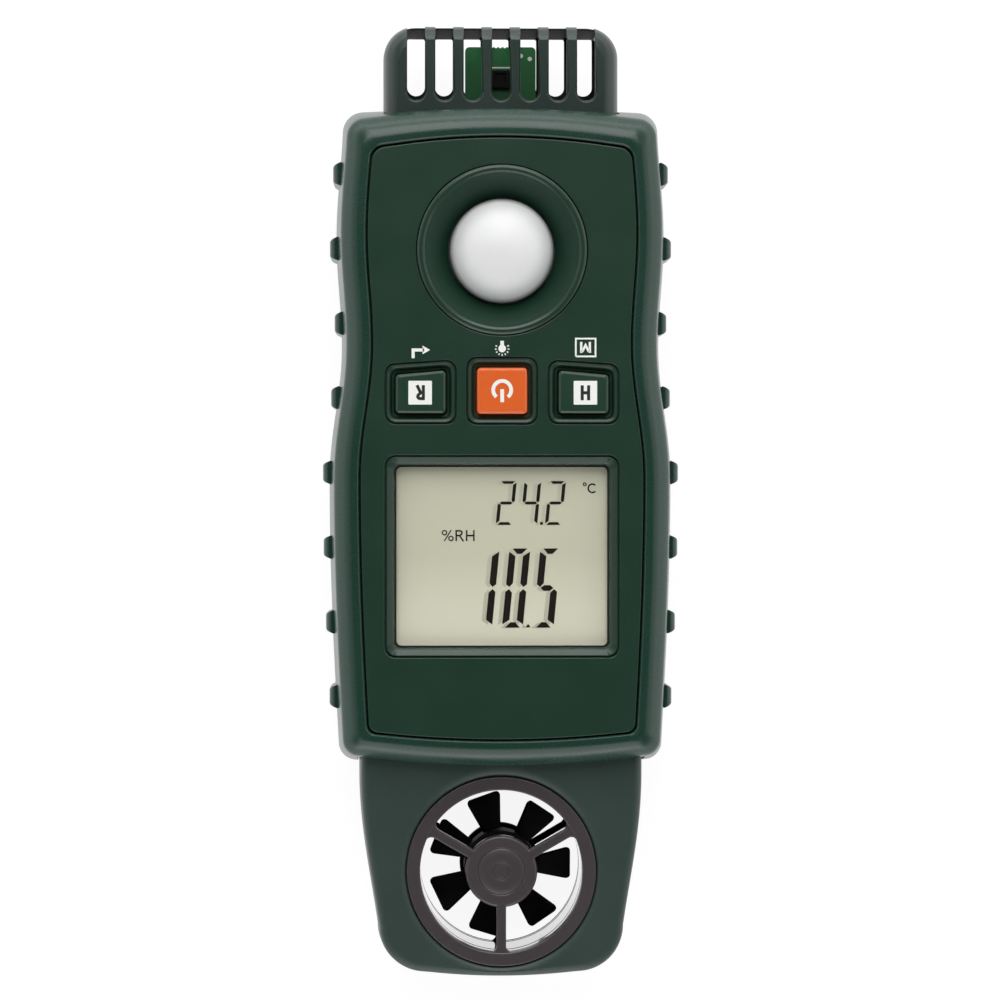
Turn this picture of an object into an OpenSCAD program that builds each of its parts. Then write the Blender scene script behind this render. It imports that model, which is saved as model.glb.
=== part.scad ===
// Handheld weather meter: a light dome, three keys and a display in a soft-edged grip,
// with a slotted humidity guard at one end and a vane head at the other.
// It lies on its back. X runs across, Y along the length towards the humidity guard and
// Z up out of the face. The origin is on the table under the middle of the whole object.

/* [Overall] */
// Length from the tip of the vane head to the tip of the humidity guard
overall_length = 193; // [191:0.5:195]
// Height of the face above the table
face_height = 32; // [32:0.25:33]
// Height of the joint between the front and the rear half
split_height = 15; // [14.8:0.1:15.2]

/* [Grip] */
// Distance from the middle to the end of the body on the guard side
body_top = 80.1; // [79.8:0.1:80.4]
// Distance from the middle to the end of the body on the vane side
body_bottom = 54.4; // [54:0.1:54.8]
// Bow of the two ends of the soft frame
end_bow = 2.1; // [1.6:0.1:2.3]
// Thickness of the soft skin
skin = 2; // [1.8:0.1:2.2]
// Wall thickness of the hard covers
wall = 2; // [1.8:0.1:2.2]
// Distance from the outside of the grip to the face panel
panel_inset = 6.45; // [6.3:0.05:6.6]
// Width of the dark groove around the face panel
groove = 0.5; // [0.3:0.1:0.8]
// Grip ribs on each side
rib_count = 8; // [6:1:8]
// Distance between grip ribs
rib_pitch = 15.14; // [14.5:0.01:15.4]
// Width of a grip rib at its outer face
rib_width = 3.6; // [3:0.1:4]
// How far a grip rib stands out of the side
rib_height = 1.25; // [0.9:0.05:1.4]

/* [Display] */
// Width of the visible display
display_width = 43.1; // [40:0.1:43.4]
// Length of the visible display
display_length = 36.6; // [34:0.1:36.8]
// Width of the sloping frame around the display
display_slope = 1.9; // [1.2:0.1:2]

/* [Keys] */
// Width of the middle key
key_width = 10; // [9.5:0.1:10.4]
// Length of the middle key
key_length = 9.2; // [8.6:0.1:9.4]
// Distance between keys
key_pitch = 16.3; // [16.1:0.1:16.6]
// How far a key goes down
key_travel = 0.8; // [0.5:0.1:0.8]
// Gap around a key
key_gap = 0.3; // [0.25:0.05:0.4]

/* [Light sensor] */
// Radius of the diffusing dome
dome_radius = 10.5; // [10.2:0.1:10.8]
// Height of the dome above its base
dome_height = 6.5; // [6:0.1:7]
// Radius of the ring around the dome
bezel_radius = 17; // [16.6:0.1:17.3]

/* [Humidity guard] */
// Width of the guard
guard_width = 47.8; // [47.4:0.1:48.2]
// Number of slots
slot_count = 7; // [5:2:7]
// Width of a slot
slot_width = 3.65; // [3.4:0.05:3.9]
// Distance between slots
slot_pitch = 5.74; // [5.6:0.02:5.8]

/* [Vane] */
// Inner radius of the air tube
tube_radius = 16.4; // [16.2:0.1:16.5]
// Outer radius of the guard rings
ring_radius = 19.1; // [18.9:0.1:19.4]
// Radius of the front hub
hub_radius = 7.25; // [6.8:0.05:7.6]
// Number of blades
blade_count = 7; // [5:1:8]
// Twist of the blades against the air flow in degrees
blade_angle = 45; // [40:1:47]
// Gap between the blade tips and the tube
tip_gap = 1.9; // [1.6:0.1:2.4]

/* [Battery] */
// Length of the battery block
battery_length = 46.4; // [45:0.1:47]
// Width of the battery block
battery_width = 26.5; // [26:0.1:26.6]
// Thickness of the battery block
battery_depth = 17.4; // [17:0.1:17.5]
// Gap around the sliding battery cover
cover_gap = 0.2; // [0.15:0.05:0.3]

/* [Shown] */
// Which piece is drawn

/* [Hidden] */
$fn = 64;

green = [0.14, 0.22, 0.18];
soft_green = [0.2, 0.27, 0.23];
dark = [0.13, 0.12, 0.12];
board_green = [0.12, 0.42, 0.2];
brass = [0.8, 0.65, 0.3];
steel = [0.7, 0.71, 0.73];

// heights through the front half, counted down from the face
shoulder_z = face_height - 2.6;
plate_z = face_height - 4.8;
panel_under_z = face_height - 2.2;
board_top_z = face_height - 9.1;
board_z = board_top_z - 1.6;
// heights through the rear half, counted up from the table
back_z = 0.5;
floor_z = 2.7;
ledge_z = 4.7;
// flanges of the head and the guard sit between the screw pillars of the two covers
ear_low = split_height + 0.05;
ear_mid = split_height + 1.1;
ear_high = split_height + 2.1;

display_y = -11.2;
strip_y = 17.9;
keys_y = 21.95;
// dished wells around the keys: how far they reach past the keys, and at what height
well_growth = [0.7, 1.9, 2.3];
well_z = [face_height - 1, face_height, face_height + 0.4];
light_y = 50.2;
vane_y = -74.85;
// middle of the blades, nearer the rear guard
blades_z = 10.5;
pickup_y = vane_y + tube_radius + 1.3;
guard_top = overall_length / 2;
head_tip = -overall_length / 2;
guard_end = body_top - skin - wall + 0.3;
head_end = -body_bottom + skin + wall - 0.4;
guard_low = 8;
guard_high = 24.2;
head_low = 4.2;
head_high = 26.4;
screw_high = [20.3, 66];
screw_low = [22.3, -42];
head_screw = [17.5, -90.2];
post_high = [23.2, 38];
post_low = [24.2, -36];
tripod_y = 38;
battery_y = -46;
battery_z = 3.1;

// half width of the grip at points along its length; the first lies beyond the end of the body
swell = [[-106.6, 30.95], [4.4, 34.9], [31.4, 32.4], [53.4, 33.5], [79.9, 32.1]];
// half width of the vane head at points along its length
head_swell = [[-100.8, 23.9], [-55.1, 28.8], [-40, 28.8]];
// how much faster the guard end is drawn in than the sides
top_draw = 1.13;
// bow of the two ends of the grip at points inwards from its outline
top_bow = [[0, end_bow / 3], [1.3, end_bow], [panel_inset, end_bow - 0.2]];
bottom_bow = [[0, end_bow - 0.7], [1.3, end_bow - 0.1], [panel_inset, end_bow - 0.7]];

function mix(a, b, t) = a + (b - a) * t;
function ease(t) = (1 - cos(180 * t)) / 2;
function along(list, y, i = 0) =
    i >= len(list) - 2 || y < list[i + 1][0]
    ? mix(list[i][1], list[i + 1][1], ease((y - list[i][0]) / (list[i + 1][0] - list[i][0])))
    : along(list, y, i + 1);
function arc(c, r, from, to, n) =
    [for (i = [0:n]) c + r * [cos(mix(from, to, i / n)), sin(mix(from, to, i / n))]];
function both_sides(half) = concat(half, [for (i = [len(half) - 2:-1:1]) [-half[i][0], half[i][1]]]);

// outline of the grip, drawn in by d
function body_half(d) =
    let (t = min(1, d / panel_inset), bb = lookup(d, bottom_bow), bt = lookup(d, top_bow))
    let (rb = mix(3.6, 1.8, t), rt = mix(4.2, 2.8, t))
    let (low = -body_bottom + d + bb + rb, high = body_top - d * top_draw - bt - rt)
    let (xb = along(swell, low) - d - rb, xt = along(swell, high) - d - rt)
    concat(
        [for (i = [0:3]) [xb * i / 4, -body_bottom + d + bb * pow(i / 4, 2)]],
        arc([xb, low], rb, atan(2 * bb / xb) - 90, 0, 4),
        [for (i = [1:17]) let (y = mix(low, high, i / 18)) [along(swell, y) - d, y]],
        arc([xt, high], rt, 0, 90 - atan(2 * bt / xt), 4),
        [for (i = [3:-1:0]) [xt * i / 4, body_top - d * top_draw - bt * pow(i / 4, 2)]]);
function body(d) = both_sides(body_half(d));

// outline of the vane head, drawn in by d
function head_half(d) =
    let (r = 9.5 - d * 0.6, low = head_tip + d + 0.9 + r)
    let (xb = along(head_swell, low) - d - r)
    concat(
        [for (i = [0:3]) [xb * i / 4, head_tip + d + 0.9 * pow(i / 4, 2)]],
        arc([xb, low], r, atan(1.8 / xb) - 90, 0, 7),
        [for (i = [1:9]) let (y = mix(low, head_end, i / 9)) [along(head_swell, y) - d, y]],
        [[0, head_end]]);
function head(d) = both_sides(head_half(d));

// outline of the humidity guard, drawn in by d
function guard(d) =
    let (r = 6.6 - d * 0.6, x = guard_width / 2 - d, y = guard_top - d)
    concat([[-x, guard_end], [x, guard_end]],
        arc([x - r, y - r], r, 0, 90, 6), arc([r - x, y - r], r, 90, 180, 6));

// polygon with every corner rounded
function rounded(shape, r, n = 4) =
    [for (i = [0:len(shape) - 1])
        let (p = shape[i], a = shape[(i + len(shape) - 1) % len(shape)], b = shape[(i + 1) % len(shape)])
        let (u = (a - p) / norm(a - p), v = (b - p) / norm(b - p), half = acos(u * v) / 2)
        let (c = p + (u + v) / norm(u + v) * r / sin(half), s = p + u * r / tan(half) - c)
        for (k = [0:n])
            let (turn = atan2(s[1], s[0]) + (180 - 2 * half) * k / n)
            c + r * [cos(turn), sin(turn)]];
function block(w, l) = [[-w, -l], [w, -l], [w, l], [-w, l]] / 2;
function moved(shape, by) = [for (p = shape) p + by];
// outlines of the display's hole and of the middle key, grown all round
function display_hole(grow) =
    rounded(block(display_width + grow * 2, display_length + grow * 2), 1.2 + grow * 0.5);
function middle_key(grow) = block(key_width + grow * 2, key_length + grow * 2);
// side keys are lower at their outer edge; side is -1 on the left and 1 on the right
function side_key(side, grow) =
    let (x = 5 + grow, low = -4.5 - grow, inner = 4.1 + grow, outer = 3.2 + grow)
    [[-x, low], [x, low], [x, side < 0 ? inner : outer], [-x, side < 0 ? outer : inner]];

// skin through a stack of outlines, each at its own height
module loft(shapes, heights) {
    n = len(shapes[0]);
    top = len(shapes) - 1;
    polyhedron(
        points = [for (k = [0:top]) for (p = shapes[k]) [p[0], p[1], heights[k]]],
        faces = concat(
            [[for (j = [0:n - 1]) j]],
            [[for (j = [n - 1:-1:0]) top * n + j]],
            [for (k = [0:top - 1]) for (j = [0:n - 1])
                [k * n + j, k * n + n + j, k * n + n + (j + 1) % n]],
            [for (k = [0:top - 1]) for (j = [0:n - 1])
                [k * n + j, k * n + n + (j + 1) % n, k * n + (j + 1) % n]]),
        convexity = 6);
}

module slab(shape, from, to) {
    translate([0, 0, from]) linear_extrude(to - from) polygon(shape);
}

module rod(at, r, from, to) {
    translate([at[0], at[1], from]) cylinder(r = r, h = to - from);
}

module box(x, y, z) {
    translate([x[0], y[0], z[0]]) cube([x[1] - x[0], y[1] - y[0], z[1] - z[0]]);
}

module four(a, b) {
    for (s = [-1, 1]) for (p = [a, b]) translate([s * p[0], p[1], 0]) children();
}

// ends of the body are open around the vane head and the guard
module end_openings(gap) {
    box([-28.8 - gap, 28.8 + gap], [-body_bottom - 5, head_end + 2.2], [head_low - gap, head_high + gap]);
    box([-guard_width / 2 - gap, guard_width / 2 + gap], [guard_end - 4, body_top + 5],
        [guard_low - gap, guard_high + gap]);
}

// grip ribs, tapering into the side at one end
module ribs(from, to, tip) {
    middle = 13.25;
    half = rib_width / 2;
    foot = half + 0.9;
    for (s = [-1, 1]) for (i = [0:rib_count - 1]) {
        y = middle + (i - (rib_count - 1) / 2) * rib_pitch;
        translate([s * along(swell, y), y, 0]) mirror([s < 0 ? 1 : 0, 0, 0]) intersection() {
            slab(rounded([[-1.1, -foot], [rib_height, -half], [rib_height, half], [-1.1, foot]], 0.8),
                min(from, tip), max(from, tip));
            rotate([90, 0, 0]) linear_extrude(10, center = true)
                polygon([[-1.1, from], [rib_height, from], [rib_height, to], [-0.5, tip], [-1.1, tip]]);
        }
    }
}

module front_cover() color(green) {
    difference() {
        union() {
            slab(body(skin + 0.05), split_height, shoulder_z);
            slab(body(panel_inset + groove / 2), shoulder_z - 1, face_height);
        }
        slab(body(skin + wall), split_height - 1, plate_z);
        slab(body(panel_inset + 2.4), plate_z - 1, panel_under_z);
        end_openings(0.1);
        // display window with its sloping frame
        translate([0, display_y, 0]) {
            loft([display_hole(0), display_hole(display_slope), display_hole(display_slope + 0.5)],
                [face_height - 1.7, face_height, face_height + 0.5]);
            slab(display_hole(0), plate_z, face_height - 1.6);
        }
        // dished wells with the key holes in them
        translate([0, keys_y, 0]) {
            for (s = [-1, 1]) translate([s * key_pitch, 0, 0]) {
                loft([for (grow = well_growth) rounded(side_key(s, grow), 0.4 + grow / 2)], well_z);
                slab(rounded(side_key(s, key_gap), 0.6), plate_z, face_height);
            }
            loft([for (grow = well_growth) rounded(middle_key(grow), 0.4 + grow / 2)], well_z);
            slab(rounded(middle_key(key_gap), 0.6), plate_z, face_height);
        }
        // seat of the light sensor's ring
        rod([0, light_y], bezel_radius - 1.9, plate_z, face_height + 1);
        rod([0, light_y], bezel_radius + 0.15, face_height - 1.05, face_height + 1);
    }
    // screw pillars and board posts
    four(screw_high, screw_low) difference() {
        rod([0, 0], 3.4, ear_high + 0.05, panel_under_z + 0.3);
        rod([0, 0], 1.3, ear_high - 1, ear_high + 6);
    }
    four(post_high, post_low) difference() {
        rod([0, 0], 2, board_top_z, panel_under_z + 0.3);
        rod([0, 0], 0.85, board_top_z - 1, board_top_z + 3.4);
    }
}

module front_grip() color(soft_green) {
    // the rim rolls over from the sides to the flat of the face
    bevel = [for (t = [0:0.25:1]) [1.2 + 4 * t, face_height - 3.2 * pow(1 - t, 2)]];
    difference() {
        union() {
            loft(concat([body(0), body(0.45)], [for (b = bevel) body(b[0])]),
                concat([split_height, split_height + 6], [for (b = bevel) b[1]]));
            ribs(split_height, split_height + 4, split_height + 7.5);
        }
        slab(body(skin), split_height - 1, shoulder_z);
        slab(body(panel_inset - groove / 2), shoulder_z - 1, face_height + 1);
        end_openings(0.1);
    }
}

module rear_cover() color(green) {
    window_x = battery_width / 2 + 0.6;
    difference() {
        union() {
            slab(body(skin + 0.05), floor_z - 0.2, split_height);
            slab(body(panel_inset + 1), back_z, floor_z);
        }
        slab(body(skin + wall), ledge_z, split_height + 1);
        // floor is thinner in the middle, except for the frame of the battery bay and the pillars
        difference() {
            slab(body(panel_inset + 3), floor_z, ledge_z + 1);
            box([-19.6, 19.6], [-60, 9], [0, ledge_z]);
            rod([0, tripod_y], 7, 0, ledge_z + 1);
        }
        end_openings(0.1);
        // way out for the battery cover, with a channel for its edges
        box([-15.4 - cover_gap, 15.4 + cover_gap], [-60, 4.8 + cover_gap], [-1, 1.7 - cover_gap]);
        box([-17.4 - cover_gap, 17.4 + cover_gap], [-60, 6.5 + cover_gap],
            [1.7 - cover_gap, 2.8 + cover_gap]);
        box([-window_x, window_x], [battery_y - 1.2, battery_y + battery_length + 0.8], [2, ledge_z + 1]);
        // screw heads and the tripod insert
        four(screw_high, screw_low) {
            rod([0, 0], 2.9, -1, 3);
            rod([0, 0], 1.5, 0, ledge_z + 1);
        }
        rod([0, tripod_y], 4.55, -1, ledge_z + 1);
    }
    // screw pillars
    four(screw_high, screw_low) difference() {
        rod([0, 0], 3.4, ledge_z - 1.5, split_height);
        rod([0, 0], 2.9, ledge_z - 2, 3);
        rod([0, 0], 1.5, 2, split_height + 1);
    }
    // blind socket for the tripod insert
    difference() {
        rod([0, tripod_y], 7, ledge_z - 1, 11);
        rod([0, tripod_y], 4.55, 0, 9.5);
    }
    // side walls and end wall of the battery bay
    for (s = [-1, 1]) translate([s * (window_x + 1), 0, 0])
        box([-0.8, 0.8], [battery_y, 8], [ledge_z - 0.5, 13.5]);
    box([-window_x - 1, window_x + 1], [8, 9.6], [floor_z - 0.5, 13.5]);
}

module rear_grip() color(soft_green) {
    difference() {
        union() {
            loft(concat([for (t = [90:-22.5:0]) body(0.4 + 3.8 * (1 - cos(t)))], [body(0)]),
                concat([for (t = [90:-22.5:0]) 5 - 5 * sin(t)], [split_height]));
            ribs(split_height, split_height - 5, split_height - 9);
        }
        slab(body(skin), floor_z - 0.2, split_height + 1);
        slab(body(panel_inset + 1), -1, floor_z);
        end_openings(0.1);
        // way out for the battery cover
        box([-15.4 - cover_gap, 15.4 + cover_gap], [-60, 0], [-1, 1.7]);
        box([-17.4 - cover_gap, 17.4 + cover_gap], [-60, 0], [1.7 - cover_gap, 2.8 + cover_gap]);
    }
}

module battery_cover() color(green) {
    difference() {
        union() {
            box([-15.4, 15.4], [-body_bottom + 1.6, 4.8], [back_z + 0.1, 1.8]);
            box([-17.4, 17.4], [-body_bottom + 3, 6.5], [1.7, 2.8]);
        }
        // thumb ridges
        for (i = [0:4]) box([-7, 7], [-46 + i * 2.4, -44.9 + i * 2.4], [0, back_z + 0.6]);
    }
}

module tripod_insert() color(brass) difference() {
    rod([0, tripod_y], 4.5, back_z, 9.5);
    rod([0, tripod_y], 2.55, back_z - 1, 10);
}

module case_screws() color(steel) four(screw_high, screw_low) {
    difference() {
        rod([0, 0], 2.6, 1, 3);
        box([-1.9, 1.9], [-0.35, 0.35], [0, 1.8]);
        box([-0.35, 0.35], [-1.9, 1.9], [0, 1.8]);
    }
    rod([0, 0], 1.25, 2.9, ear_high + 4.5);
}

module slots(from, to, z0, z1) {
    for (i = [0:slot_count - 1]) translate([(i - (slot_count - 1) / 2) * slot_pitch, 0, 0]) {
        box([-slot_width / 2, slot_width / 2], [from + slot_width / 2, to], [z0, z1]);
        rod([0, from + slot_width / 2], slot_width / 2, z0, z1);
    }
}

// flat flange with a screw hole, held between the pillars
module ears(at, inner, outer, from, to, z0, z1) {
    for (s = [-1, 1]) difference() {
        box([min(s * inner, s * outer), max(s * inner, s * outer)], [from, to], [z0, z1]);
        rod([s * at[0], at[1]], 1.5, z0 - 1, z1 + 1);
    }
}

module sensor_guard_front() color(green) {
    difference() {
        loft([guard(0), guard(0.1), guard(0.45), guard(1.1), guard(2), guard(3.2)],
            [ear_mid, guard_high - 4, guard_high - 2.4, guard_high - 1.2, guard_high - 0.4, guard_high]);
        difference() {
            slab(guard(1.8), ear_mid - 1, guard_high - 1.7);
            box([-30, -8.4], [guard_end - 1, guard_end + 1.6], [0, 40]);
            box([8.4, 30], [guard_end - 1, guard_end + 1.6], [0, 40]);
        }
        slots(body_top + 0.9, guard_top + 1, ear_mid - 1, guard_high + 1);
    }
    ears(screw_high, 17, 23.8, 62.4, guard_end + 1.2, ear_mid, ear_high);
}

module sensor_guard_rear() color(green) {
    difference() {
        loft([guard(1.4), guard(0.6), guard(0.2), guard(0)],
            [guard_low, guard_low + 0.5, guard_low + 1.6, ear_mid]);
        difference() {
            slab(guard(1.3), guard_low + 1.7, ear_mid + 1);
            box([-30, -8.4], [guard_end - 1, guard_end + 1.6], [0, 40]);
            box([8.4, 30], [guard_end - 1, guard_end + 1.6], [0, 40]);
        }
        slots(body_top + 3.2, guard_top - 1.3, guard_low - 1, guard_low + 3);
    }
    ears(screw_high, 17, 23.8, 62.4, guard_end + 1.2, ear_low, ear_mid);
}

module sensor_board() color(board_green) {
    top = guard_top - 3.9;
    difference() {
        box([-7.2, 7.2], [66, top], [ear_mid - 0.5, ear_mid + 0.5]);
        for (i = [-2:2]) translate([i * 0.9, 0, 0])
            box([-0.2, 0.2], [top - 0.7, top + 1], [ear_mid - 1, ear_mid + 1]);
    }
}

module humidity_sensor() color(dark) {
    box([-1.9, 1.9], [84.1, 87.8], [ear_mid + 0.5, ear_mid + 1.7]);
}

module sensor_ribbon() color([0.75, 0.75, 0.78]) {
    box([-4, 4], [63.6, 71], [ear_mid - 1, ear_mid - 0.5]);
    box([-4, 4], [63.1, 63.6], [ear_mid - 1, board_z]);
}

module light_bezel() color(green) translate([0, light_y, 0]) {
    rotate_extrude() polygon([
        [dome_radius + 0.3, face_height - 6.4], [bezel_radius - 2, face_height - 6.4],
        [bezel_radius - 2, face_height - 1], [bezel_radius, face_height - 1],
        [bezel_radius, face_height + 0.1], [bezel_radius - 0.3, face_height + 0.4],
        [bezel_radius - 1.3, face_height + 0.4], [bezel_radius - 1.7, face_height],
        [dome_radius + 1.2, face_height - 4.6], [dome_radius + 0.3, face_height - 5]]);
}

module light_dome() color([0.93, 0.93, 0.92]) translate([0, light_y, 0]) {
    base = face_height - 4;
    sphere_radius = (pow(dome_radius, 2) + pow(dome_height, 2)) / (2 * dome_height);
    centre = base + dome_height - sphere_radius;
    inner = sphere_radius - 1.2;
    from = asin((base - centre) / sphere_radius);
    inner_from = asin((base - centre) / inner);
    rotate_extrude() polygon(concat(
        [[dome_radius - 1.2, face_height - 7.5], [dome_radius + 1.8, face_height - 7.5],
            [dome_radius + 1.8, face_height - 6.5], [dome_radius, face_height - 6.5]],
        [for (i = [0:14]) let (a = mix(from, 90, i / 14))
            [i == 14 ? 0 : sphere_radius * cos(a), centre + sphere_radius * sin(a)]],
        [for (i = [8:-1:0]) let (a = mix(inner_from, 90, i / 8))
            [i == 8 ? 0 : inner * cos(a), centre + inner * sin(a)]]));
}

module light_spacer() color(dark) difference() {
    rod([0, light_y], dome_radius + 1.8, board_top_z, face_height - 7.5);
    rod([0, light_y], dome_radius - 1.3, board_top_z - 1, face_height);
}

module photodiode() color(steel) {
    rod([0, light_y], 4.6, board_top_z, board_top_z + 0.5);
    rod([0, light_y], 4.1, board_top_z + 0.4, board_top_z + 2);
}

module light_filter() color([0.3, 0.6, 0.6]) rod([0, light_y], 6.5, board_top_z + 2, board_top_z + 3);

module lcd_window() color([0.85, 0.9, 0.9]) translate([0, display_y, 0]) {
    slab(rounded(block(display_width + 3.2, display_length + 3), 1.4), face_height - 3.5, face_height - 2.3);
}

module lcd_glass() color([0.72, 0.72, 0.62]) translate([0, display_y, 0]) {
    box([-22.6, 22.6], [-19.4, 19.4], [face_height - 5.5, face_height - 3.6]);
}

module lcd_frame() color([0.85, 0.85, 0.82]) translate([0, display_y, 0]) difference() {
    box([-23.7, 23.7], [-20.5, 20.5], [board_top_z, face_height - 3.6]);
    box([-22.7, 22.7], [-19.5, 19.5], [board_top_z + 1, face_height]);
    box([-21.8, 21.8], [-16.2, 16.2], [board_top_z - 1, board_top_z + 2]);
    for (s = [-1, 1]) translate([0, s * strip_y, 0])
        box([-21.8, 21.8], [-1.2, 1.2], [board_top_z - 1, board_top_z + 2]);
}

module lcd_backlight() color([0.95, 0.95, 0.9]) translate([0, display_y, 0]) {
    box([-21.7, 21.7], [-16.1, 16.1], [board_top_z + 1.2, board_top_z + 3.4]);
}

module lcd_strips() color([0.85, 0.6, 0.55]) translate([0, display_y, 0]) {
    for (s = [-1, 1]) translate([0, s * strip_y, 0])
        box([-21.5, 21.5], [-1.1, 1.1], [board_top_z, face_height - 5.5]);
}

// key with a retaining flange and a stem under it, from the outlines of its cap and its flange
module key(cap, flange) {
    slab(cap, face_height - 3.4, face_height + 0.5);
    slab(flange, face_height - 4.1, face_height - 3);
    rod([0, 0], 2.2, face_height - 4.55, face_height - 4);
}

module power_key() color([0.89, 0.4, 0.16]) translate([0, keys_y, 0]) {
    key(rounded(middle_key(0), 0.5), rounded(middle_key(1), 1));
}

module hold_key() color(green) translate([key_pitch, keys_y, 0]) {
    key(rounded(side_key(1, 0), 0.5), rounded(side_key(1, 1), 1));
}

module record_key() color(green) translate([-key_pitch, keys_y, 0]) {
    key(rounded(side_key(-1, 0), 0.5), rounded(side_key(-1, 1), 1));
}

module plunger(x) {
    rod([x, keys_y], 1.7, face_height - 7.4, face_height - 4.55);
}

module power_plunger() color(dark) plunger(0);
module hold_plunger() color(dark) plunger(key_pitch);
module record_plunger() color(dark) plunger(-key_pitch);

module key_switches() color([0.25, 0.25, 0.27]) {
    for (s = [-1, 0, 1]) translate([s * key_pitch, keys_y, 0]) difference() {
        box([-3.1, 3.1], [-3.1, 3.1], [board_top_z, face_height - 5.5]);
        rod([0, 0], 2, face_height - 8.5, face_height);
    }
}

module main_board() color(board_green) difference() {
    slab(rounded([[-26, -48.6], [26, -48.6], [27.4, -10], [27, 30],
        [26.6, 72], [-26.6, 72], [-27, 30], [-27.4, -10]], 2), board_z, board_top_z);
    four(screw_high, screw_low) rod([0, 0], 3.8, 0, 40);
    four(post_high, post_low) rod([0, 0], 1.1, 0, 40);
}

module board_chips() color(dark) {
    box([-6, 6], [22, 34], [board_z - 1.6, board_z]);
    box([-20, -12], [26, 31], [board_z - 1.8, board_z]);
    box([12, 20], [16, 21], [board_z - 1.8, board_z]);
    box([13, 18], [40, 44], [board_z - 3.5, board_z]);
    rod([-15, 45], 3, board_z - 6, board_z);
    rod([18, 52], 2.5, board_z - 5, board_z);
    box([-6, 6], [54, 58], [board_z - 1.2, board_z]);
}

module board_screws() color(steel) four(post_high, post_low) {
    rod([0, 0], 1.8, board_z - 1.3, board_z);
    rod([0, 0], 0.8, board_z - 0.5, board_top_z + 3);
}

module battery() color([0.2, 0.2, 0.22]) {
    slab(moved(rounded(block(battery_width, battery_length), 1.5), [0, battery_y + battery_length / 2]),
        battery_z, battery_z + battery_depth);
    for (s = [-1, 1]) translate([s * 6.35, battery_y + battery_length, battery_z + battery_depth / 2])
        rotate([-90, 0, 0]) translate([0, 0, -0.5]) cylinder(r = s < 0 ? 4.3 : 2.8, h = 3);
}

module battery_snap() color(dark) {
    from = battery_y + battery_length + 0.2;
    mid = battery_z + battery_depth / 2;
    difference() {
        box([-12.6, 12.6], [from, from + 4], [mid - 6.2, mid + 6.2]);
        for (s = [-1, 1]) translate([s * 6.35, from - 1, mid])
            rotate([-90, 0, 0]) cylinder(r = s < 0 ? 4.5 : 3, h = 3.6);
    }
}

module battery_leads() color([0.7, 0.1, 0.1]) {
    from = battery_z + battery_depth / 2 + 6.2;
    for (s = [-1, 1]) rod([s * 4, battery_y + battery_length + 2.2], 0.7, from, board_z);
}

module head_hole() {
    rod([0, vane_y], tube_radius + 1.4, 0, 40);
}

// countersunk seat of a guard ring in one face of the head; way is 1 for the front face and -1 for the rear
module ring_seat(face, way) {
    inner = ring_radius + 0.15;
    translate([0, vane_y, face]) mirror([0, 0, way > 0 ? 0 : 1]) {
        rod([0, 0], inner, -1.75, 1);
        translate([0, 0, -0.7]) cylinder(r1 = inner, r2 = inner + 1, h = 1);
    }
}

module vane_head_front() color(green) {
    difference() {
        loft([head(0), head(0.5), head(0.9), head(1.9)],
            [ear_mid, head_high - 1.6, head_high - 0.6, head_high]);
        slab(head(2.3), ear_mid - 1, head_high - 3);
        head_hole();
        ring_seat(head_high, 1);
    }
    difference() {
        union() {
            // closing wall towards the grip
            box([-26, 26], [head_end - 1.8, head_end], [ear_mid, head_high - 2]);
            for (s = [-1, 1]) rod([s * head_screw[0], head_screw[1]], 2.6, ear_mid, head_high - 2);
        }
        box([-4.4, 4.4], [head_end - 3, head_end + 1], [ear_mid + 1.2, ear_mid + 2.8]);
        for (s = [-1, 1]) rod([s * head_screw[0], head_screw[1]], 0.95, 0, ear_mid + 5);
    }
    ears(screw_low, 17.4, 26, head_end - 1, -38.4, ear_mid, ear_high);
}

module vane_head_rear() color(green) {
    difference() {
        loft([head(1.9), head(0.9), head(0.5), head(0)],
            [head_low, head_low + 0.6, head_low + 1.6, ear_mid]);
        slab(head(2.3), head_low + 3, ear_mid + 1);
        head_hole();
        ring_seat(head_low, -1);
        for (s = [-1, 1]) rod([s * head_screw[0], head_screw[1]], 2.1, 0, 6);
        for (s = [-1, 1]) rod([s * head_screw[0], head_screw[1]], 1.1, 0, 8);
    }
    box([-26, 26], [head_end - 1.8, head_end], [head_low + 2, ear_mid]);
    for (s = [-1, 1]) difference() {
        rod([s * head_screw[0], head_screw[1]], 2.6, head_low + 1.8, ear_mid);
        rod([s * head_screw[0], head_screw[1]], 1.1, 0, 20);
    }
    ears(screw_low, 17.4, 26, head_end - 1, -38.4, ear_low, ear_mid);
}

module head_screws() color(steel) for (s = [-1, 1]) translate([s * head_screw[0], head_screw[1], 0]) {
    rod([0, 0], 1.9, 4.6, 6);
    rod([0, 0], 0.9, 5.9, ear_mid + 4.5);
}

// three spokes, one pointing to the tip of the head
module spokes(width, from, to) {
    for (a = [30, 150, 270]) rotate(a) box([5, tube_radius + 1], [-width / 2, width / 2], [from, to]);
}

module vane_guard_front() color(dark) translate([0, vane_y, 0]) difference() {
    top = head_high - 0.2;
    union() {
        rotate_extrude() polygon([
            [tube_radius, head_low + 2], [tube_radius + 1.2, head_low + 2], [tube_radius + 1.2, top - 1.5],
            [ring_radius, top - 1.5], [ring_radius, top - 0.3],
            [ring_radius - 0.3, top], [tube_radius + 0.3, top], [tube_radius, top - 0.3]]);
        spokes(1.9, top - 2.2, top - 0.2);
        rod([0, 0], hub_radius, top - 2.4, top - 0.1);
    }
    // fine ring groove in the hub and the seat of the front bearing
    difference() {
        rod([0, 0], 4.9, top - 0.4, top + 2);
        rod([0, 0], 4.5, top - 1, top + 2);
    }
    rod([0, 0], 1.65, top - 4, top - 1);
}

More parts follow.
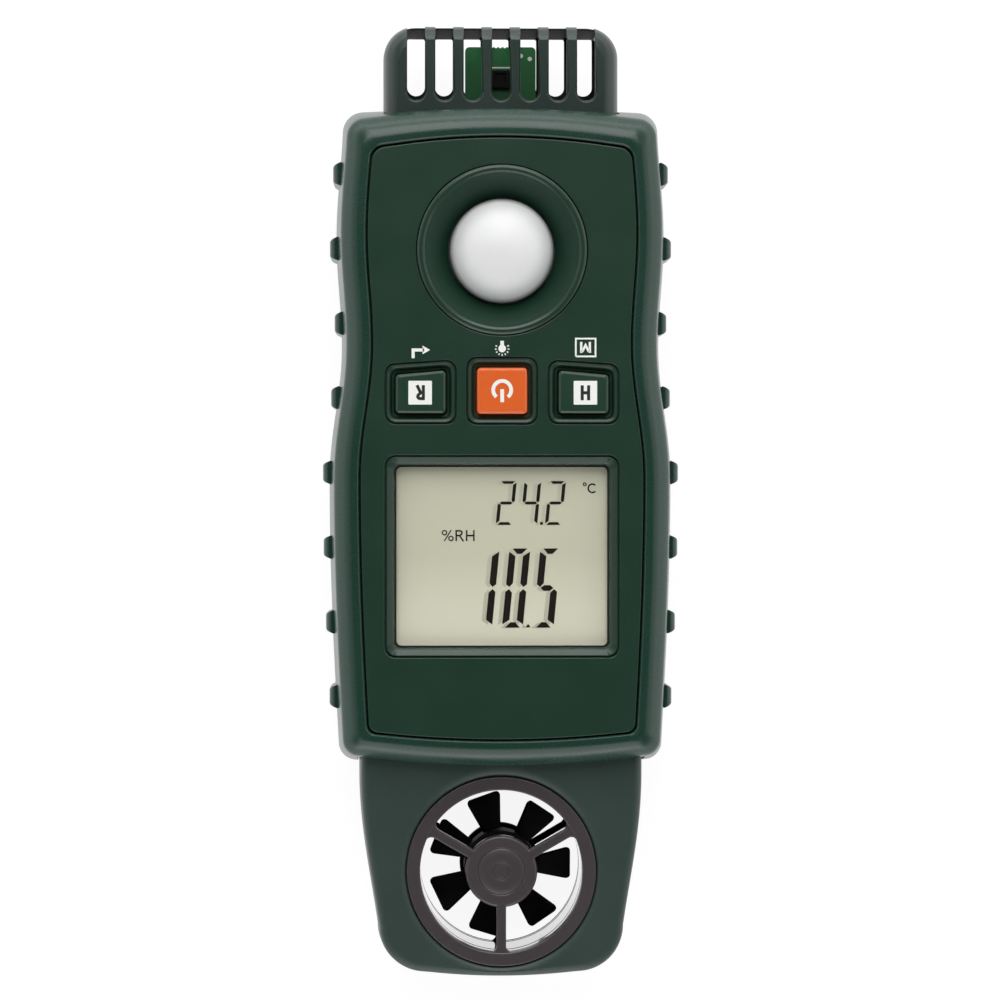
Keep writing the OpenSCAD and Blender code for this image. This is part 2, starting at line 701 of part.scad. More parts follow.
module vane_guard_rear() color(dark) translate([0, vane_y, 0]) difference() {
    low = head_low + 0.2;
    union() {
        rotate_extrude() polygon([
            [tube_radius, low + 1.75], [tube_radius + 1.2, low + 1.75], [tube_radius + 1.2, low + 1.5],
            [ring_radius, low + 1.5], [ring_radius, low + 0.3],
            [ring_radius - 0.3, low], [tube_radius + 0.3, low], [tube_radius, low + 0.3]]);
        spokes(1.35, low + 0.2, low + 1.3);
        rod([0, 0], 8.2, low + 0.1, low + 2.4);
    }
    rod([0, 0], 1.65, low + 1, low + 4);
}

module impeller() color(dark) translate([0, vane_y, 0]) difference() {
    tip = tube_radius - tip_gap;
    union() {
        rod([0, 0], 7.4, blades_z - 3.2, blades_z + 5.5);
        for (i = [0:blade_count - 1]) rotate(105 - i * 360 / blade_count) translate([0, 0, blades_z])
            rotate([blade_angle, 0, 0]) linear_extrude(0.9, center = true)
                polygon(rounded([[6, -2.3], [tip, -5.4], [tip, 4.6], [6, 1.5]], 0.9));
    }
    rod([0, 0], 0.6, 0, 40);
}

module vane_axle() color(steel) rod([0, vane_y], 0.6, head_low + 1.5, head_high - 1.5);

module vane_bearings() color(brass) translate([0, vane_y, 0]) {
    difference() {
        rod([0, 0], 1.6, head_high - 2.7, head_high - 1.25);
        rod([0, 0], 0.66, 0, 40);
    }
    difference() {
        rod([0, 0], 1.6, head_low + 1.25, head_low + 2.7);
        rod([0, 0], 0.66, 0, 40);
    }
}

module vane_pickup() color(dark) {
    box([-4, 4], [pickup_y, pickup_y + 1.8], [ear_mid - 6, ear_mid + 3]);
}

module vane_ribbon() color([0.75, 0.75, 0.78]) {
    box([-3, 3], [pickup_y + 1.8, -47.2], [ear_mid + 1.8, ear_mid + 2.2]);
    box([-3, 3], [-47.6, -47.2], [ear_mid + 2, board_z]);
}

front_cover();
front_grip();
rear_cover();
rear_grip();
battery_cover();
sensor_guard_front();
sensor_guard_rear();
sensor_board();
humidity_sensor();
sensor_ribbon();
light_bezel();
light_dome();
light_filter();
photodiode();
light_spacer();
lcd_window();
lcd_glass();
lcd_frame();
lcd_backlight();
lcd_strips();
power_key();
hold_key();
record_key();
power_plunger();
hold_plunger();
record_plunger();
key_switches();
main_board();
board_chips();
board_screws();
battery();
battery_snap();
battery_leads();
case_screws();
tripod_insert();
vane_head_front();
vane_head_rear();
vane_guard_front();
vane_guard_rear();
impeller();
vane_axle();
vane_bearings();
vane_pickup();
vane_ribbon();
head_screws();
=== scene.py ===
"""Looks of the handheld weather meter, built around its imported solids."""
import math

import bmesh
import bpy
from mathutils import Matrix, Vector


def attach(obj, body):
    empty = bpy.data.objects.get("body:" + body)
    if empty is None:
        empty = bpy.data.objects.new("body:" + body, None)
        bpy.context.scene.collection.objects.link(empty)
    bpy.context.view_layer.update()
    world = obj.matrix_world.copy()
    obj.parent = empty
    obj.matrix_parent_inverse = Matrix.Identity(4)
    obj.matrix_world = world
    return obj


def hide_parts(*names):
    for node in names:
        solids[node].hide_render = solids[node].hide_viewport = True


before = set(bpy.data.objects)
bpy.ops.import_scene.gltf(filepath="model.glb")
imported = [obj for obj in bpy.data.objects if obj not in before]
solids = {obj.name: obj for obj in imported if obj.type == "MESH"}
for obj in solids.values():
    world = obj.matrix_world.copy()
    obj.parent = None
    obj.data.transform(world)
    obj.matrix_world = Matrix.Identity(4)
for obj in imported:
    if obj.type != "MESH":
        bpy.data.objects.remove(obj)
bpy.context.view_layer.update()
scene = bpy.context.scene

# Sizes in millimetres, as in the solids
MM = 0.001
FACE = 32.0
SPLIT = 15.0
MIDDLE = SPLIT + 1.1
BODY_TOP = 80.1
BODY_BOTTOM = 54.4
TOP_DRAW = 1.13
PANEL_INSET = 6.45
GROOVE = 0.34
SKIN = 2.05
SEAM = 0.02
# Bow of the grip's two ends, by inset
TOP_BOW = [(0, 0.7), (1.3, 2.1), (PANEL_INSET, 1.9), (20, 1.9)]
BOTTOM_BOW = [(0, 1.4), (1.3, 2.0), (PANEL_INSET, 1.4), (20, 1.4)]
# Half widths of grip and vane head along the length
SWELL = [(-106.6, 30.95), (4.4, 34.9), (31.4, 32.4), (53.4, 33.5), (79.9, 32.1)]
HEAD_SWELL = [(-100.8, 23.9), (-55.1, 28.8), (-40, 28.8)]
# Vane head, humidity guard with its board, battery cover and grip ribs
HEAD_TIP = -96.5
HEAD_END = -50.8
HEAD_LOW, HEAD_HIGH = 4.2, 26.4
HEAD_SCREW = (17.5, -90.2)
GUARD_TOP = 96.5
GUARD_END = 76.4
GUARD_HALF = 23.9
GUARD_LOW, GUARD_HIGH = 8.0, 24.2
SLOTS, SLOT_WIDTH, SLOT_PITCH = 7, 3.65, 5.74
BOARD_HALF, BOARD_END, CHIP_Y = 7.2, 66, 85.95
COVER_HALF, COVER_RAIL = 15.6, 17.6
RIBS, RIB_PITCH, RIB_MIDDLE = 8, 15.14, 13.25
RIB_WIDTH, RIB_HEIGHT = 3.6, 1.25
# Face and vane
DISPLAY_Y, DISPLAY_WIDTH, DISPLAY_LENGTH = -11.2, 43.1, 36.6
KEYS_Y, KEY_PITCH, KEY_WIDTH, KEY_LENGTH = 21.95, 16.3, 10.0, 9.2
LIGHT_Y, DOME_RADIUS, DOME_HEIGHT, BEZEL_RADIUS = 50.2, 10.5, 6.5, 17.0
VANE_Y, TUBE_RADIUS, RING_RADIUS, HUB_RADIUS = -74.85, 16.4, 19.1, 7.25
TUBE_WALL = 1.2
SPOKES = (30, 150, 270)
BLADES, BLADE_ANGLE, BLADE_TIP, BLADE_START, BLADES_Z = 7, 45, 14.5, 105, 10.5


# Outlines

def mix(a, b, t):
    return a + (b - a) * t


def ease(t):
    return (1 - math.cos(math.pi * t)) / 2


def along(stations, y):
    """Half width at y, eased from one station to the next."""
    for (y0, w0), (y1, w1) in zip(stations, stations[1:]):
        if y < y1 or y1 == stations[-1][0]:
            return mix(w0, w1, ease((y - y0) / (y1 - y0)))


def arc(x, y, r, start, end, steps):
    turns = [math.radians(mix(start, end, i / steps)) for i in range(steps + 1)]
    return [(x + r * math.cos(a), y + r * math.sin(a)) for a in turns]


def both_sides(half):
    """A half outline from bottom to top, closed with its mirror image."""
    return half + [(-x, y) for x, y in half[-2:0:-1]]


def level(table, x):
    """Value at x in a table of straight stretches."""
    for (x0, v0), (x1, v1) in zip(table, table[1:]):
        if x <= x1:
            return mix(v0, v1, (x - x0) / (x1 - x0))


def tilt(bow, half):
    """Slope at the end of a bowed edge, in degrees."""
    return math.degrees(math.atan(2 * bow / half))


def body_outline(d):
    """The grip's outline, drawn in by d."""
    t = min(1, d / PANEL_INSET)
    foot, head = d - BODY_BOTTOM, BODY_TOP - d * TOP_DRAW
    foot_bow, head_bow = level(BOTTOM_BOW, d), level(TOP_BOW, d)
    foot_round, head_round = mix(3.6, 1.8, t), mix(4.2, 2.8, t)
    low, high = foot + foot_bow + foot_round, head - head_bow - head_round
    foot_x, head_x = along(SWELL, low) - d - foot_round, along(SWELL, high) - d - head_round
    bottom = [(foot_x * i / 12, foot + foot_bow * (i / 12) ** 2) for i in range(12)]
    sides = [(along(SWELL, mix(low, high, i / 72)) - d, mix(low, high, i / 72)) for i in range(1, 72)]
    top = [(head_x * i / 12, head - head_bow * (i / 12) ** 2) for i in range(11, -1, -1)]
    foot_corner = arc(foot_x, low, foot_round, tilt(foot_bow, foot_x) - 90, 0, 9)
    head_corner = arc(head_x, high, head_round, 0, 90 - tilt(head_bow, head_x), 9)
    return both_sides(bottom + foot_corner + sides + head_corner + top)


def head_outline(d, end=HEAD_END):
    """The vane head's outline, drawn in by d."""
    r, bow, foot = 9.5 - d * 0.6, 0.9, HEAD_TIP + d
    low = foot + bow + r
    x = along(HEAD_SWELL, low) - d - r
    bottom = [(x * i / 12, foot + bow * (i / 12) ** 2) for i in range(12)]
    sides = [(along(HEAD_SWELL, mix(low, end, i / 36)) - d, mix(low, end, i / 36)) for i in range(1, 37)]
    return both_sides(bottom + arc(x, low, r, tilt(bow, x) - 90, 0, 18) + sides + [(0, end)])


def guard_outline(d, end=GUARD_END):
    """The humidity guard's outline, drawn in by d."""
    r, x, y = 6.6 - d * 0.6, GUARD_HALF - d, GUARD_TOP - d
    return [(-x, end), (x, end)] + arc(x - r, y - r, r, 0, 90, 18) + arc(r - x, y - r, r, 90, 180, 18)


def rounded(corners, r, steps=7):
    """A polygon with every corner rounded."""
    points = []
    for i, here in enumerate(corners):
        p, a, b = (Vector(q) for q in (here, corners[i - 1], corners[(i + 1) % len(corners)]))
        u, v = (a - p).normalized(), (b - p).normalized()
        half = u.angle(v) / 2
        centre = p + (u + v).normalized() * r / math.sin(half)
        start = p + u * r / math.tan(half) - centre
        turn = math.degrees(math.atan2(start.y, start.x))
        points += arc(centre.x, centre.y, r, turn, turn + 180 - math.degrees(2 * half), steps)
    return points


def block(width, length, r, at=(0, 0)):
    x, y = width / 2, length / 2
    return moved(rounded([(-x, -y), (x, -y), (x, y), (-x, y)], r), at)


def moved(points, at):
    return [(x + at[0], y + at[1]) for x, y in points]


def side_key(side, grow, r):
    """Outline of a side key's well, hole or cap; the outer end is lower."""
    x, low, inner, outer = 5 + grow, -4.5 - grow, 4.1 + grow, 3.2 + grow
    left, right = (outer, inner) if side < 0 else (inner, outer)
    return moved(rounded([(-x, low), (x, low), (x, right), (-x, left)], r), (side * KEY_PITCH, KEYS_Y))


# Meshes

def piece_from(name, points, faces, weld=True):
    """Piece from points in millimetres."""
    mesh = bpy.data.meshes.new(name)
    mesh.from_pydata([Vector(p) * MM for p in points], [], faces)
    shape = bmesh.new()
    shape.from_mesh(mesh)
    if weld:
        bmesh.ops.remove_doubles(shape, verts=shape.verts, dist=1e-7)
    bmesh.ops.recalc_face_normals(shape, faces=shape.faces)
    shape.to_mesh(mesh)
    shape.free()
    piece = bpy.data.objects.new(name, mesh)
    scene.collection.objects.link(piece)
    return piece


def bands(n, m, count):
    """Faces between m rings of n points, for the first count pairs of rings."""
    rings = [[k % m * n + j for j in range(n)] for k in range(count + 1)]
    pairs = zip(rings, rings[1:])
    return [(a[j], a[(j + 1) % n], b[(j + 1) % n], b[j]) for a, b in pairs for j in range(n)]


def stack(name, rings):
    """Closed skin through outlines, each with its height, capped at both ends."""
    n, m = len(rings[0][0]), len(rings)
    points = [(x, y, z) for outline, z in rings for x, y in outline]
    caps = [list(range(n)), list(range(len(points) - n, len(points)))]
    return piece_from(name, points, caps + bands(n, m, m - 1))


def sweep(name, outline, profile):
    """Closed profile of (inset, height) carried round an outline."""
    rings = [[(x, y, z) for x, y in outline(d)] for d, z in profile]
    n, m = len(rings[0]), len(rings)
    return piece_from(name, [p for ring in rings for p in ring], bands(n, m, m))


def lathe(name, profile, at, steps=120, closed=True):
    """Profile of (radius, height) turned about an upright axis; an open profile ends on the axis."""
    m = len(profile)
    turns = [2 * math.pi * j / steps for j in range(steps)]
    points = [(at[0] + max(r, 0) * math.cos(a), at[1] + max(r, 0) * math.sin(a), z)
              for r, z in profile for a in turns]
    return piece_from(name, points, bands(steps, m, m if closed else m - 1))


def settle(piece):
    """Turn a piece's modifiers into its mesh."""
    bpy.context.view_layer.update()
    ready = piece.evaluated_get(bpy.context.evaluated_depsgraph_get())
    mesh = bpy.data.meshes.new_from_object(ready)
    old = piece.data
    piece.modifiers.clear()
    piece.data = mesh
    mesh.name = piece.name
    bpy.data.meshes.remove(old)
    return piece


def carve(piece, *tools, operation="DIFFERENCE"):
    """Cut tools out of a piece, and use them up."""
    for tool in tools:
        change = piece.modifiers.new("carve", "BOOLEAN")
        change.operation = operation
        change.solver = "EXACT"
        change.object = tool
    settle(piece)
    for tool in tools:
        bpy.data.objects.remove(tool)
    return piece


def fuse(piece, *others):
    return carve(piece, *others, operation="UNION")


def join(name, pieces):
    """Several separate shapes as one piece."""
    shape = bmesh.new()
    for piece in pieces:
        shape.from_mesh(piece.data)
    mesh = bpy.data.meshes.new(name)
    shape.to_mesh(mesh)
    shape.free()
    for piece in pieces:
        bpy.data.objects.remove(piece)
    whole = bpy.data.objects.new(name, mesh)
    scene.collection.objects.link(whole)
    return whole


def soften(piece, angle=38):
    """Smooth shading that keeps true edges and flat faces."""
    piece.data.shade_smooth()
    piece.data.set_sharp_from_angle(angle=math.radians(angle))
    even = piece.modifiers.new("even", "WEIGHTED_NORMAL")
    even.keep_sharp = True
    even.weight = 60
    return settle(piece)


def bevelled(piece, width, angle):
    edge = piece.modifiers.new("edge", "BEVEL")
    edge.width = width * MM
    edge.segments = 2
    edge.limit_method = "ANGLE"
    edge.angle_limit = math.radians(angle)
    return settle(piece)


def box(name, x, y, z):
    points = [(x[i], y[j], z[k]) for k in (0, 1) for j in (0, 1) for i in (0, 1)]
    faces = [(0, 2, 3, 1), (4, 5, 7, 6), (0, 1, 5, 4), (2, 6, 7, 3), (0, 4, 6, 2), (1, 3, 7, 5)]
    return piece_from(name, points, faces)


def dress(piece, look, body, slot, *stands_for):
    """Give a piece its finish, the body that carries it and the nodes that it stands for."""
    piece.data.materials.clear()
    piece.data.materials.append(look)
    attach(piece, body)
    if stands_for:
        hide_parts(*stands_for)
    return piece


# Finishes

class Wire:
    """A socket that can be used in plain arithmetic."""

    def __init__(self, tree, socket):
        self.tree, self.socket = tree, socket

    def math(self, operation, first, second):
        node = self.tree.nodes.new("ShaderNodeMath")
        node.operation = operation
        for socket, value in zip(node.inputs, (first, second)):
            plug(self.tree, socket, value)
        return Wire(self.tree, node.outputs[0])

    def __add__(self, other):
        return self.math("ADD", self, other)

    def __sub__(self, other):
        return self.math("SUBTRACT", self, other)

    def __rsub__(self, other):
        return self.math("SUBTRACT", other, self)

    def __mul__(self, other):
        return self.math("MULTIPLY", self, other)

    def __gt__(self, other):
        return self.math("GREATER_THAN", self, other)

    __radd__ = __add__
    __rmul__ = __mul__


def plug(tree, socket, value):
    """Link a wire to a socket, or set the socket's own value."""
    if isinstance(value, Wire):
        tree.links.new(value.socket, socket)
    elif hasattr(value, "__len__") and socket.type == "RGBA":
        socket.default_value = (*value[:3], 1)
    else:
        socket.default_value = value


class Finish:
    """The nodes of one procedural material or of the surroundings."""

    def __init__(self, owner):
        owner.use_nodes = True
        self.owner, self.tree = owner, owner.node_tree
        self.tree.nodes.clear()

    def node(self, kind, settings=None, sockets=None, out=0):
        made = self.tree.nodes.new(kind)
        for key, value in (settings or {}).items():
            setattr(made, key, value)
        for key, value in (sockets or {}).items():
            plug(self.tree, made.inputs[key], value)
        return Wire(self.tree, made.outputs[out]) if made.outputs else None

    def place(self):
        return self.node("ShaderNodeTexCoord", out="Object")

    def across(self, axis):
        return self.node("ShaderNodeSeparateXYZ", None, {0: self.place()}, out=axis)

    def noise(self, scale, detail=2.0):
        return self.node("ShaderNodeTexNoise", {"noise_dimensions": "3D"},
                         {"Vector": self.place(), "Scale": scale, "Detail": detail, "Roughness": 0.5})

    def between(self, factor, a, b):
        return self.node("ShaderNodeMix", {"data_type": "RGBA"}, {0: factor, 6: a, 7: b}, out=2)

    def ramp(self, value, low, high):
        return self.node("ShaderNodeMapRange", {"clamp": True},
                         {"Value": value, "From Min": low, "From Max": high})

    def bump(self, height, strength, distance):
        return self.node("ShaderNodeBump", None,
                         {"Height": height, "Strength": strength, "Distance": distance})

    def surface(self, **sockets):
        longer = {"specular": "Specular IOR Level"}
        names = {longer.get(k, k.replace("_", " ").title()): v for k, v in sockets.items()}
        shader = self.node("ShaderNodeBsdfPrincipled", None, names)
        self.node("ShaderNodeOutputMaterial", None, {"Surface": shader})
        return self.owner


def finish(name):
    return Finish(bpy.data.materials.new(name))


def paint(r, g, b):
    """A screen colour as the linear colour that a shader takes."""
    return tuple((c / 255 / 12.92 if c <= 10 else ((c / 255 + 0.055) / 1.055) ** 2.4) for c in (r, g, b))


def tone(colour, factor):
    return tuple(c * factor for c in colour)


def moulded(name, colour, rough, grain=2600, depth=0.35, mottle=0.06, coat=0.0, shine=0.5):
    """Moulded plastic or rubber with a fine spark-eroded grain."""
    m = finish(name)
    fine, broad = m.noise(grain, 3.0), m.noise(90, 3.0)
    return m.surface(
        base_color=m.between(broad, tone(colour, 1 - mottle), tone(colour, 1 + mottle)),
        roughness=rough + (fine - 0.5) * 0.14 + (broad - 0.5) * 0.12,
        normal=m.bump(fine, depth, 0.04 * MM), coat_weight=coat, coat_roughness=0.3, specular=shine)


def metal(name, colour, rough):
    m = finish(name)
    fine, broad = m.noise(5200), m.noise(300)
    return m.surface(base_color=m.between(broad, tone(colour, 0.9), colour), metallic=1.0,
                     roughness=rough + (fine - 0.5) * 0.12, normal=m.bump(fine, 0.08, 0.02 * MM))


def board_lacquer(name, colour):
    """Green circuit board, with shade painted in so that it is a little darker towards the grip."""
    m = finish(name)
    broad, fine = m.noise(160, 3.0), m.noise(1900)
    painted_shade_ramp = m.ramp(m.across(1), 79 * MM, 93 * MM)
    # Painted shade towards the grip, mixed with a random mottle
    mottle = painted_shade_ramp + (broad - 0.5) * 0.3
    return m.surface(base_color=m.between(mottle, tone(colour, 0.62), tone(colour, 1.25)),
                     roughness=0.36 + (broad - 0.5) * 0.15, normal=m.bump(fine, 0.05, 0.02 * MM))


def display_ground(name):
    """Pale display with painted light and shade: darker near its top, a little lighter towards its lower
    edge.
    """
    m = finish(name)
    # Painted shade near the top edge, painted light towards the lower edge
    painted_shade_ramp = m.ramp(m.across(1), DISPLAY_Y * MM, (DISPLAY_Y - 19) * MM)
    grain = m.noise(1500)
    return m.surface(base_color=m.between(painted_shade_ramp, paint(222, 222, 197), paint(255, 253, 229)),
                     roughness=0.42 + (grain - 0.5) * 0.1, normal=m.bump(grain, 0.04, 0.02 * MM))


def dome_diffuser(name):
    """White dome, with shade painted in towards its foot."""
    m = finish(name)
    grain, foot = m.noise(1400), m.ramp(m.across(2), (FACE - 4.1) * MM, (FACE - 2.5) * MM)
    # Painted shade towards the dome's foot, with a little grain
    shade = foot + (grain - 0.5) * 0.06
    return m.surface(base_color=m.between(shade, paint(120, 120, 121), paint(240, 240, 241)),
                     roughness=0.5 + (grain - 0.5) * 0.1, normal=m.bump(grain, 0.05, 0.03 * MM),
                     subsurface_weight=0.4, subsurface_scale=3 * MM, subsurface_radius=(1.0, 1.0, 1.0))


def clear_window(name):
    m = finish(name)
    haze = m.noise(700)
    return m.surface(base_color=(0.02, 0.02, 0.02), roughness=0.06 + haze * 0.05, alpha=0.04)


def ring_skin(name, colour):
    """Dull bowl of the light sensor's ring with a polished lip."""
    m = finish(name)
    x, y, grain, broad = m.across(0), m.across(1) - LIGHT_Y * MM, m.noise(2600, 3.0), m.noise(90, 3.0)
    lip = x * x + y * y > ((BEZEL_RADIUS - 1.5) * MM) ** 2
    return m.surface(base_color=m.between(broad, tone(colour, 0.94), tone(colour, 1.06)), specular=0.2,
                     roughness=0.42 + (grain - 0.5) * 0.14, normal=m.bump(grain, 0.3, 0.04 * MM),
                     coat_weight=lip * 0.7, coat_roughness=0.2)


def tube_skin(name):
    """Glossy inside of the air tube."""
    m = finish(name)
    grain = m.noise(900)
    return m.surface(base_color=m.between(grain, paint(42, 38, 39), paint(48, 44, 45)),
                     roughness=0.1 + grain * 0.04, coat_weight=1.0, coat_roughness=0.08)


face_plastic = moulded("face_plastic", paint(26, 54, 41), 0.34)
ring_plastic = ring_skin("ring_plastic", paint(26, 54, 41))
soft_skin = moulded("soft_skin", paint(27, 58, 47), 0.28, grain=3400, depth=0.22)
shell_plastic = moulded("shell_plastic", paint(50, 66, 60), 0.42, shine=0.4)
guard_plastic = moulded("guard_plastic", paint(37, 52, 46), 0.34)
# Darker copy of the guard's green: painted shade for the rear half seen through the slots
guard_painted_shade = moulded("guard_painted_shade", paint(24, 30, 27), 0.6, shine=0.2)
key_plastic = moulded("key_plastic", paint(29, 58, 44), 0.34, depth=0.2)
orange_plastic = moulded("orange_plastic", paint(228, 101, 40), 0.32, depth=0.15, mottle=0.03)
vane_plastic = moulded("vane_plastic", paint(62, 55, 57), 0.42, grain=3000, coat=0.4)
wheel_plastic = moulded("wheel_plastic", paint(20, 16, 17), 0.65, depth=0.1, shine=0.12)
black_plastic = moulded("black_plastic", paint(34, 32, 33), 0.5)
tube_plastic = tube_skin("tube_plastic")
white_plastic = moulded("white_plastic", paint(220, 220, 214), 0.5, mottle=0.03)
chip_plastic = moulded("chip_plastic", paint(24, 23, 21), 0.45, grain=4200)
contact_rubber = moulded("contact_rubber", paint(214, 150, 140), 0.7)
grey_lead = moulded("grey_lead", paint(188, 188, 192), 0.55)
red_lead = moulded("red_lead", paint(178, 32, 30), 0.5)
battery_wrap = moulded("battery_wrap", paint(52, 53, 58), 0.28, depth=0.05, coat=0.3)
white_print = moulded("white_print", paint(248, 249, 245), 0.55, depth=0.05, mottle=0.03)
# Dark print on the keys, also used as painted shade round the display
dark_print_and_shade = moulded("dark_print_and_shade", paint(24, 30, 26), 0.55, depth=0.05)
segment_ink = moulded("segment_ink", paint(30, 27, 20), 0.45, depth=0.02, shine=0.2)
# Colour of the painted bar shadows on the display
segment_shade = moulded("segment_shade", paint(208, 207, 185), 0.45, depth=0.02, mottle=0.02)
filter_glass = moulded("filter_glass", paint(96, 160, 158), 0.12, depth=0.02)
steel = metal("steel", (0.56, 0.57, 0.58), 0.32)
brass = metal("brass", (0.72, 0.52, 0.2), 0.3)
tin = moulded("tin", paint(232, 232, 228), 0.4, depth=0.05)
green_board = board_lacquer("green_board", paint(28, 100, 50))
pale_display = display_ground("pale_display")
dome_white = dome_diffuser("dome_white")
window_clear = clear_window("window_clear")


# Grip

def rib_set(name, rows):
    """Upright grip ribs, narrower outside; rows are (height, share of the rib's full reach)."""
    draft = 0.38
    ribs = []
    for side in (-1, 1):
        for i in range(RIBS):
            y = RIB_MIDDLE + (i - (RIBS - 1) / 2) * RIB_PITCH
            x, rings = along(SWELL, y), []
            for z, share in rows:
                reach, root = RIB_HEIGHT * share, 1.1 - 0.5 * (1 - share)
                half = RIB_WIDTH / 2 + draft * (RIB_HEIGHT - reach)
                foot = half + draft * (reach + root)
                corners = [(-root, -foot), (reach, -half), (reach, half), (-root, foot)]
                outline = rounded(corners, 0.25 + 0.55 * share, 8)
                rings.append(([(side * (x + px), y + py) for px, py in outline], z))
            ribs.append(stack("rib", rings))
    return join(name, ribs)


def rib_end(start, reach):
    """Rows in which a rib runs out into the side."""
    turns = [t * math.pi / 2 for t in (0, 0.2, 0.4, 0.55, 0.7, 0.82, 0.92, 1)]
    return [(start + reach * math.sin(t), math.cos(t)) for t in turns]


def end_openings():
    """Room in the ends of the grip for the vane head and the humidity guard."""
    gap, head, guard = 0.1, HEAD_SWELL[-1][1] + 0.2, GUARD_HALF + 0.1
    return [box("head_room", (-head, head), (-70, HEAD_END + 2.2), (HEAD_LOW - gap, HEAD_HIGH + gap)),
            box("guard_room", (-guard, guard), (GUARD_END - 4, 100), (GUARD_LOW - gap, GUARD_HIGH + gap))]


def make_front_grip():
    lip, under = PANEL_INSET - GROOVE / 2, FACE - 2.55
    wall = [(SKIN, SPLIT + SEAM), (0.2, SPLIT + SEAM), (0.06, SPLIT + 0.1), (0.02, SPLIT + 0.3),
            (0.2, 17.5), (0.45, 21), (0.8, 25), (1.07, 27.6), (1.16, 28.3), (1.26, 28.75), (1.4, 29.08)]
    bevel = [(1.2 + 4 * t, FACE - 3.2 * (1 - t) ** 2) for t in [i / 20 for i in range(2, 21)]]
    rim = [(lip - 0.42, FACE), (lip - 0.36, FACE - 0.02), (lip - 0.06, FACE - 0.3), (lip, FACE - 0.4)]
    grip = sweep("front_grip_skin", body_outline, wall + bevel + rim + [(lip, under), (SKIN, under)])
    ribs = rib_set("front_ribs", [(SPLIT + SEAM, 0.9), (SPLIT + 0.15, 1)] + rib_end(SPLIT + 4.2, 2.2))
    carve(grip, *end_openings())
    fuse(grip, ribs)
    return dress(soften(grip, 40), soft_skin, "meter", "soft_green", "front_grip")


def make_rear_grip():
    turns = [math.radians(t) for t in range(90, -1, -6)]
    bend = [(0.4 + 3.8 * (1 - math.cos(t)), 5 - 5 * math.sin(t)) for t in turns]
    lip = PANEL_INSET + 1
    rim = [(SKIN, 2.5), (lip, 2.5), (lip, 0.4), (lip - 0.1, 0.15), (lip - 0.4, 0.0)]
    wall = [(0.2, 10), (0.02, SPLIT - 0.3), (0.06, SPLIT - 0.1), (0.2, SPLIT - SEAM), (SKIN, SPLIT - SEAM)]
    grip = sweep("rear_grip_skin", body_outline, rim + bend + wall)
    ribs = rib_set("rear_ribs", [(SPLIT - SEAM, 0.9), (SPLIT - 0.15, 1)] + rib_end(SPLIT - 6, -2.6))
    carve(grip, *end_openings(), box("cover_way", (-COVER_HALF, COVER_HALF), (-70, 0), (-2, 1.7)),
          box("cover_channel", (-COVER_RAIL, COVER_RAIL), (-70, 0), (1.5, 3)))
    fuse(grip, ribs)
    return dress(soften(grip, 40), soft_skin, "meter", "soft_green", "rear_grip")


# Face

def flared(name, outline, rows):
    """Cutter whose outline grows with height; rows are (growth, height over the face)."""
    return stack(name, [(outline(grow), FACE + z) for grow, z in rows])


def make_face():
    rim = PANEL_INSET + GROOVE / 2
    inside = [(9, 29.8), (9, 27.2), (4, 27.2), (4, SPLIT + SEAM)]
    outside = [(2.1, SPLIT + SEAM), (2.1, 29.35), (rim, 29.35), (rim, FACE - 0.25),
               (rim + 0.03, FACE - 0.1), (rim + 0.1, FACE - 0.03), (rim + 0.2, FACE)]
    face = stack("face_panel", [(body_outline(d), z) for d, z in inside + outside])
    groove = [(0.0, -0.24), (0.08, -0.34), (0.12, -0.75), (0.32, -0.75),
              (0.38, -0.3), (0.46, -0.1), (0.6, 0.001), (0.6, 0.4)]

    def window(grow):
        size = (DISPLAY_WIDTH + 2 * grow, DISPLAY_LENGTH + 2 * grow)
        return block(*size, max(0.8, 1.2 + grow * 0.5), (0, DISPLAY_Y))

    slope = [(0, -6), (0, -1.7), (0.05, -1.3), (0.14, -1.05), (0.28, -0.85), (0.5, -0.68), (1.46, -0.22)]
    carve(face, *end_openings(), flared("display_cut", window, slope + [(1.56 + g, z) for g, z in groove]))

    def middle(grow):
        return block(KEY_WIDTH + 2 * grow, KEY_LENGTH + 2 * grow, 0.6 + grow * 0.7, (0, KEYS_Y))

    dish = [(0.3, -6), (0.3, -1.6), (0.7, -1.5), (0.85, -1.2), (0.96, -0.82),
            (1.1, -0.54), (1.32, -0.36), (1.6, -0.25), (1.76, -0.21)]
    wells = [middle] + [lambda grow, side=side: side_key(side, grow, 0.6 + grow * 0.7) for side in (-1, 1)]
    cuts = [flared("key_cut", well, dish + [(1.82 + g * 0.9, z) for g, z in groove]) for well in wells]
    bore, edge, under = BEZEL_RADIUS - 1.9, BEZEL_RADIUS + 0.15, FACE - 1.05
    seat = [(0, 26), (bore, 26), (bore, under), (edge, under), (edge, FACE - 0.3), (edge + 0.1, FACE - 0.1),
            (edge + 0.3, FACE + 0.001), (edge + 0.3, FACE + 1), (0, FACE + 1)]
    carve(face, *cuts, lathe("light_seat", seat, (0, LIGHT_Y), closed=False))
    return dress(soften(face, 40), face_plastic, "meter", "case_green", "front_cover")


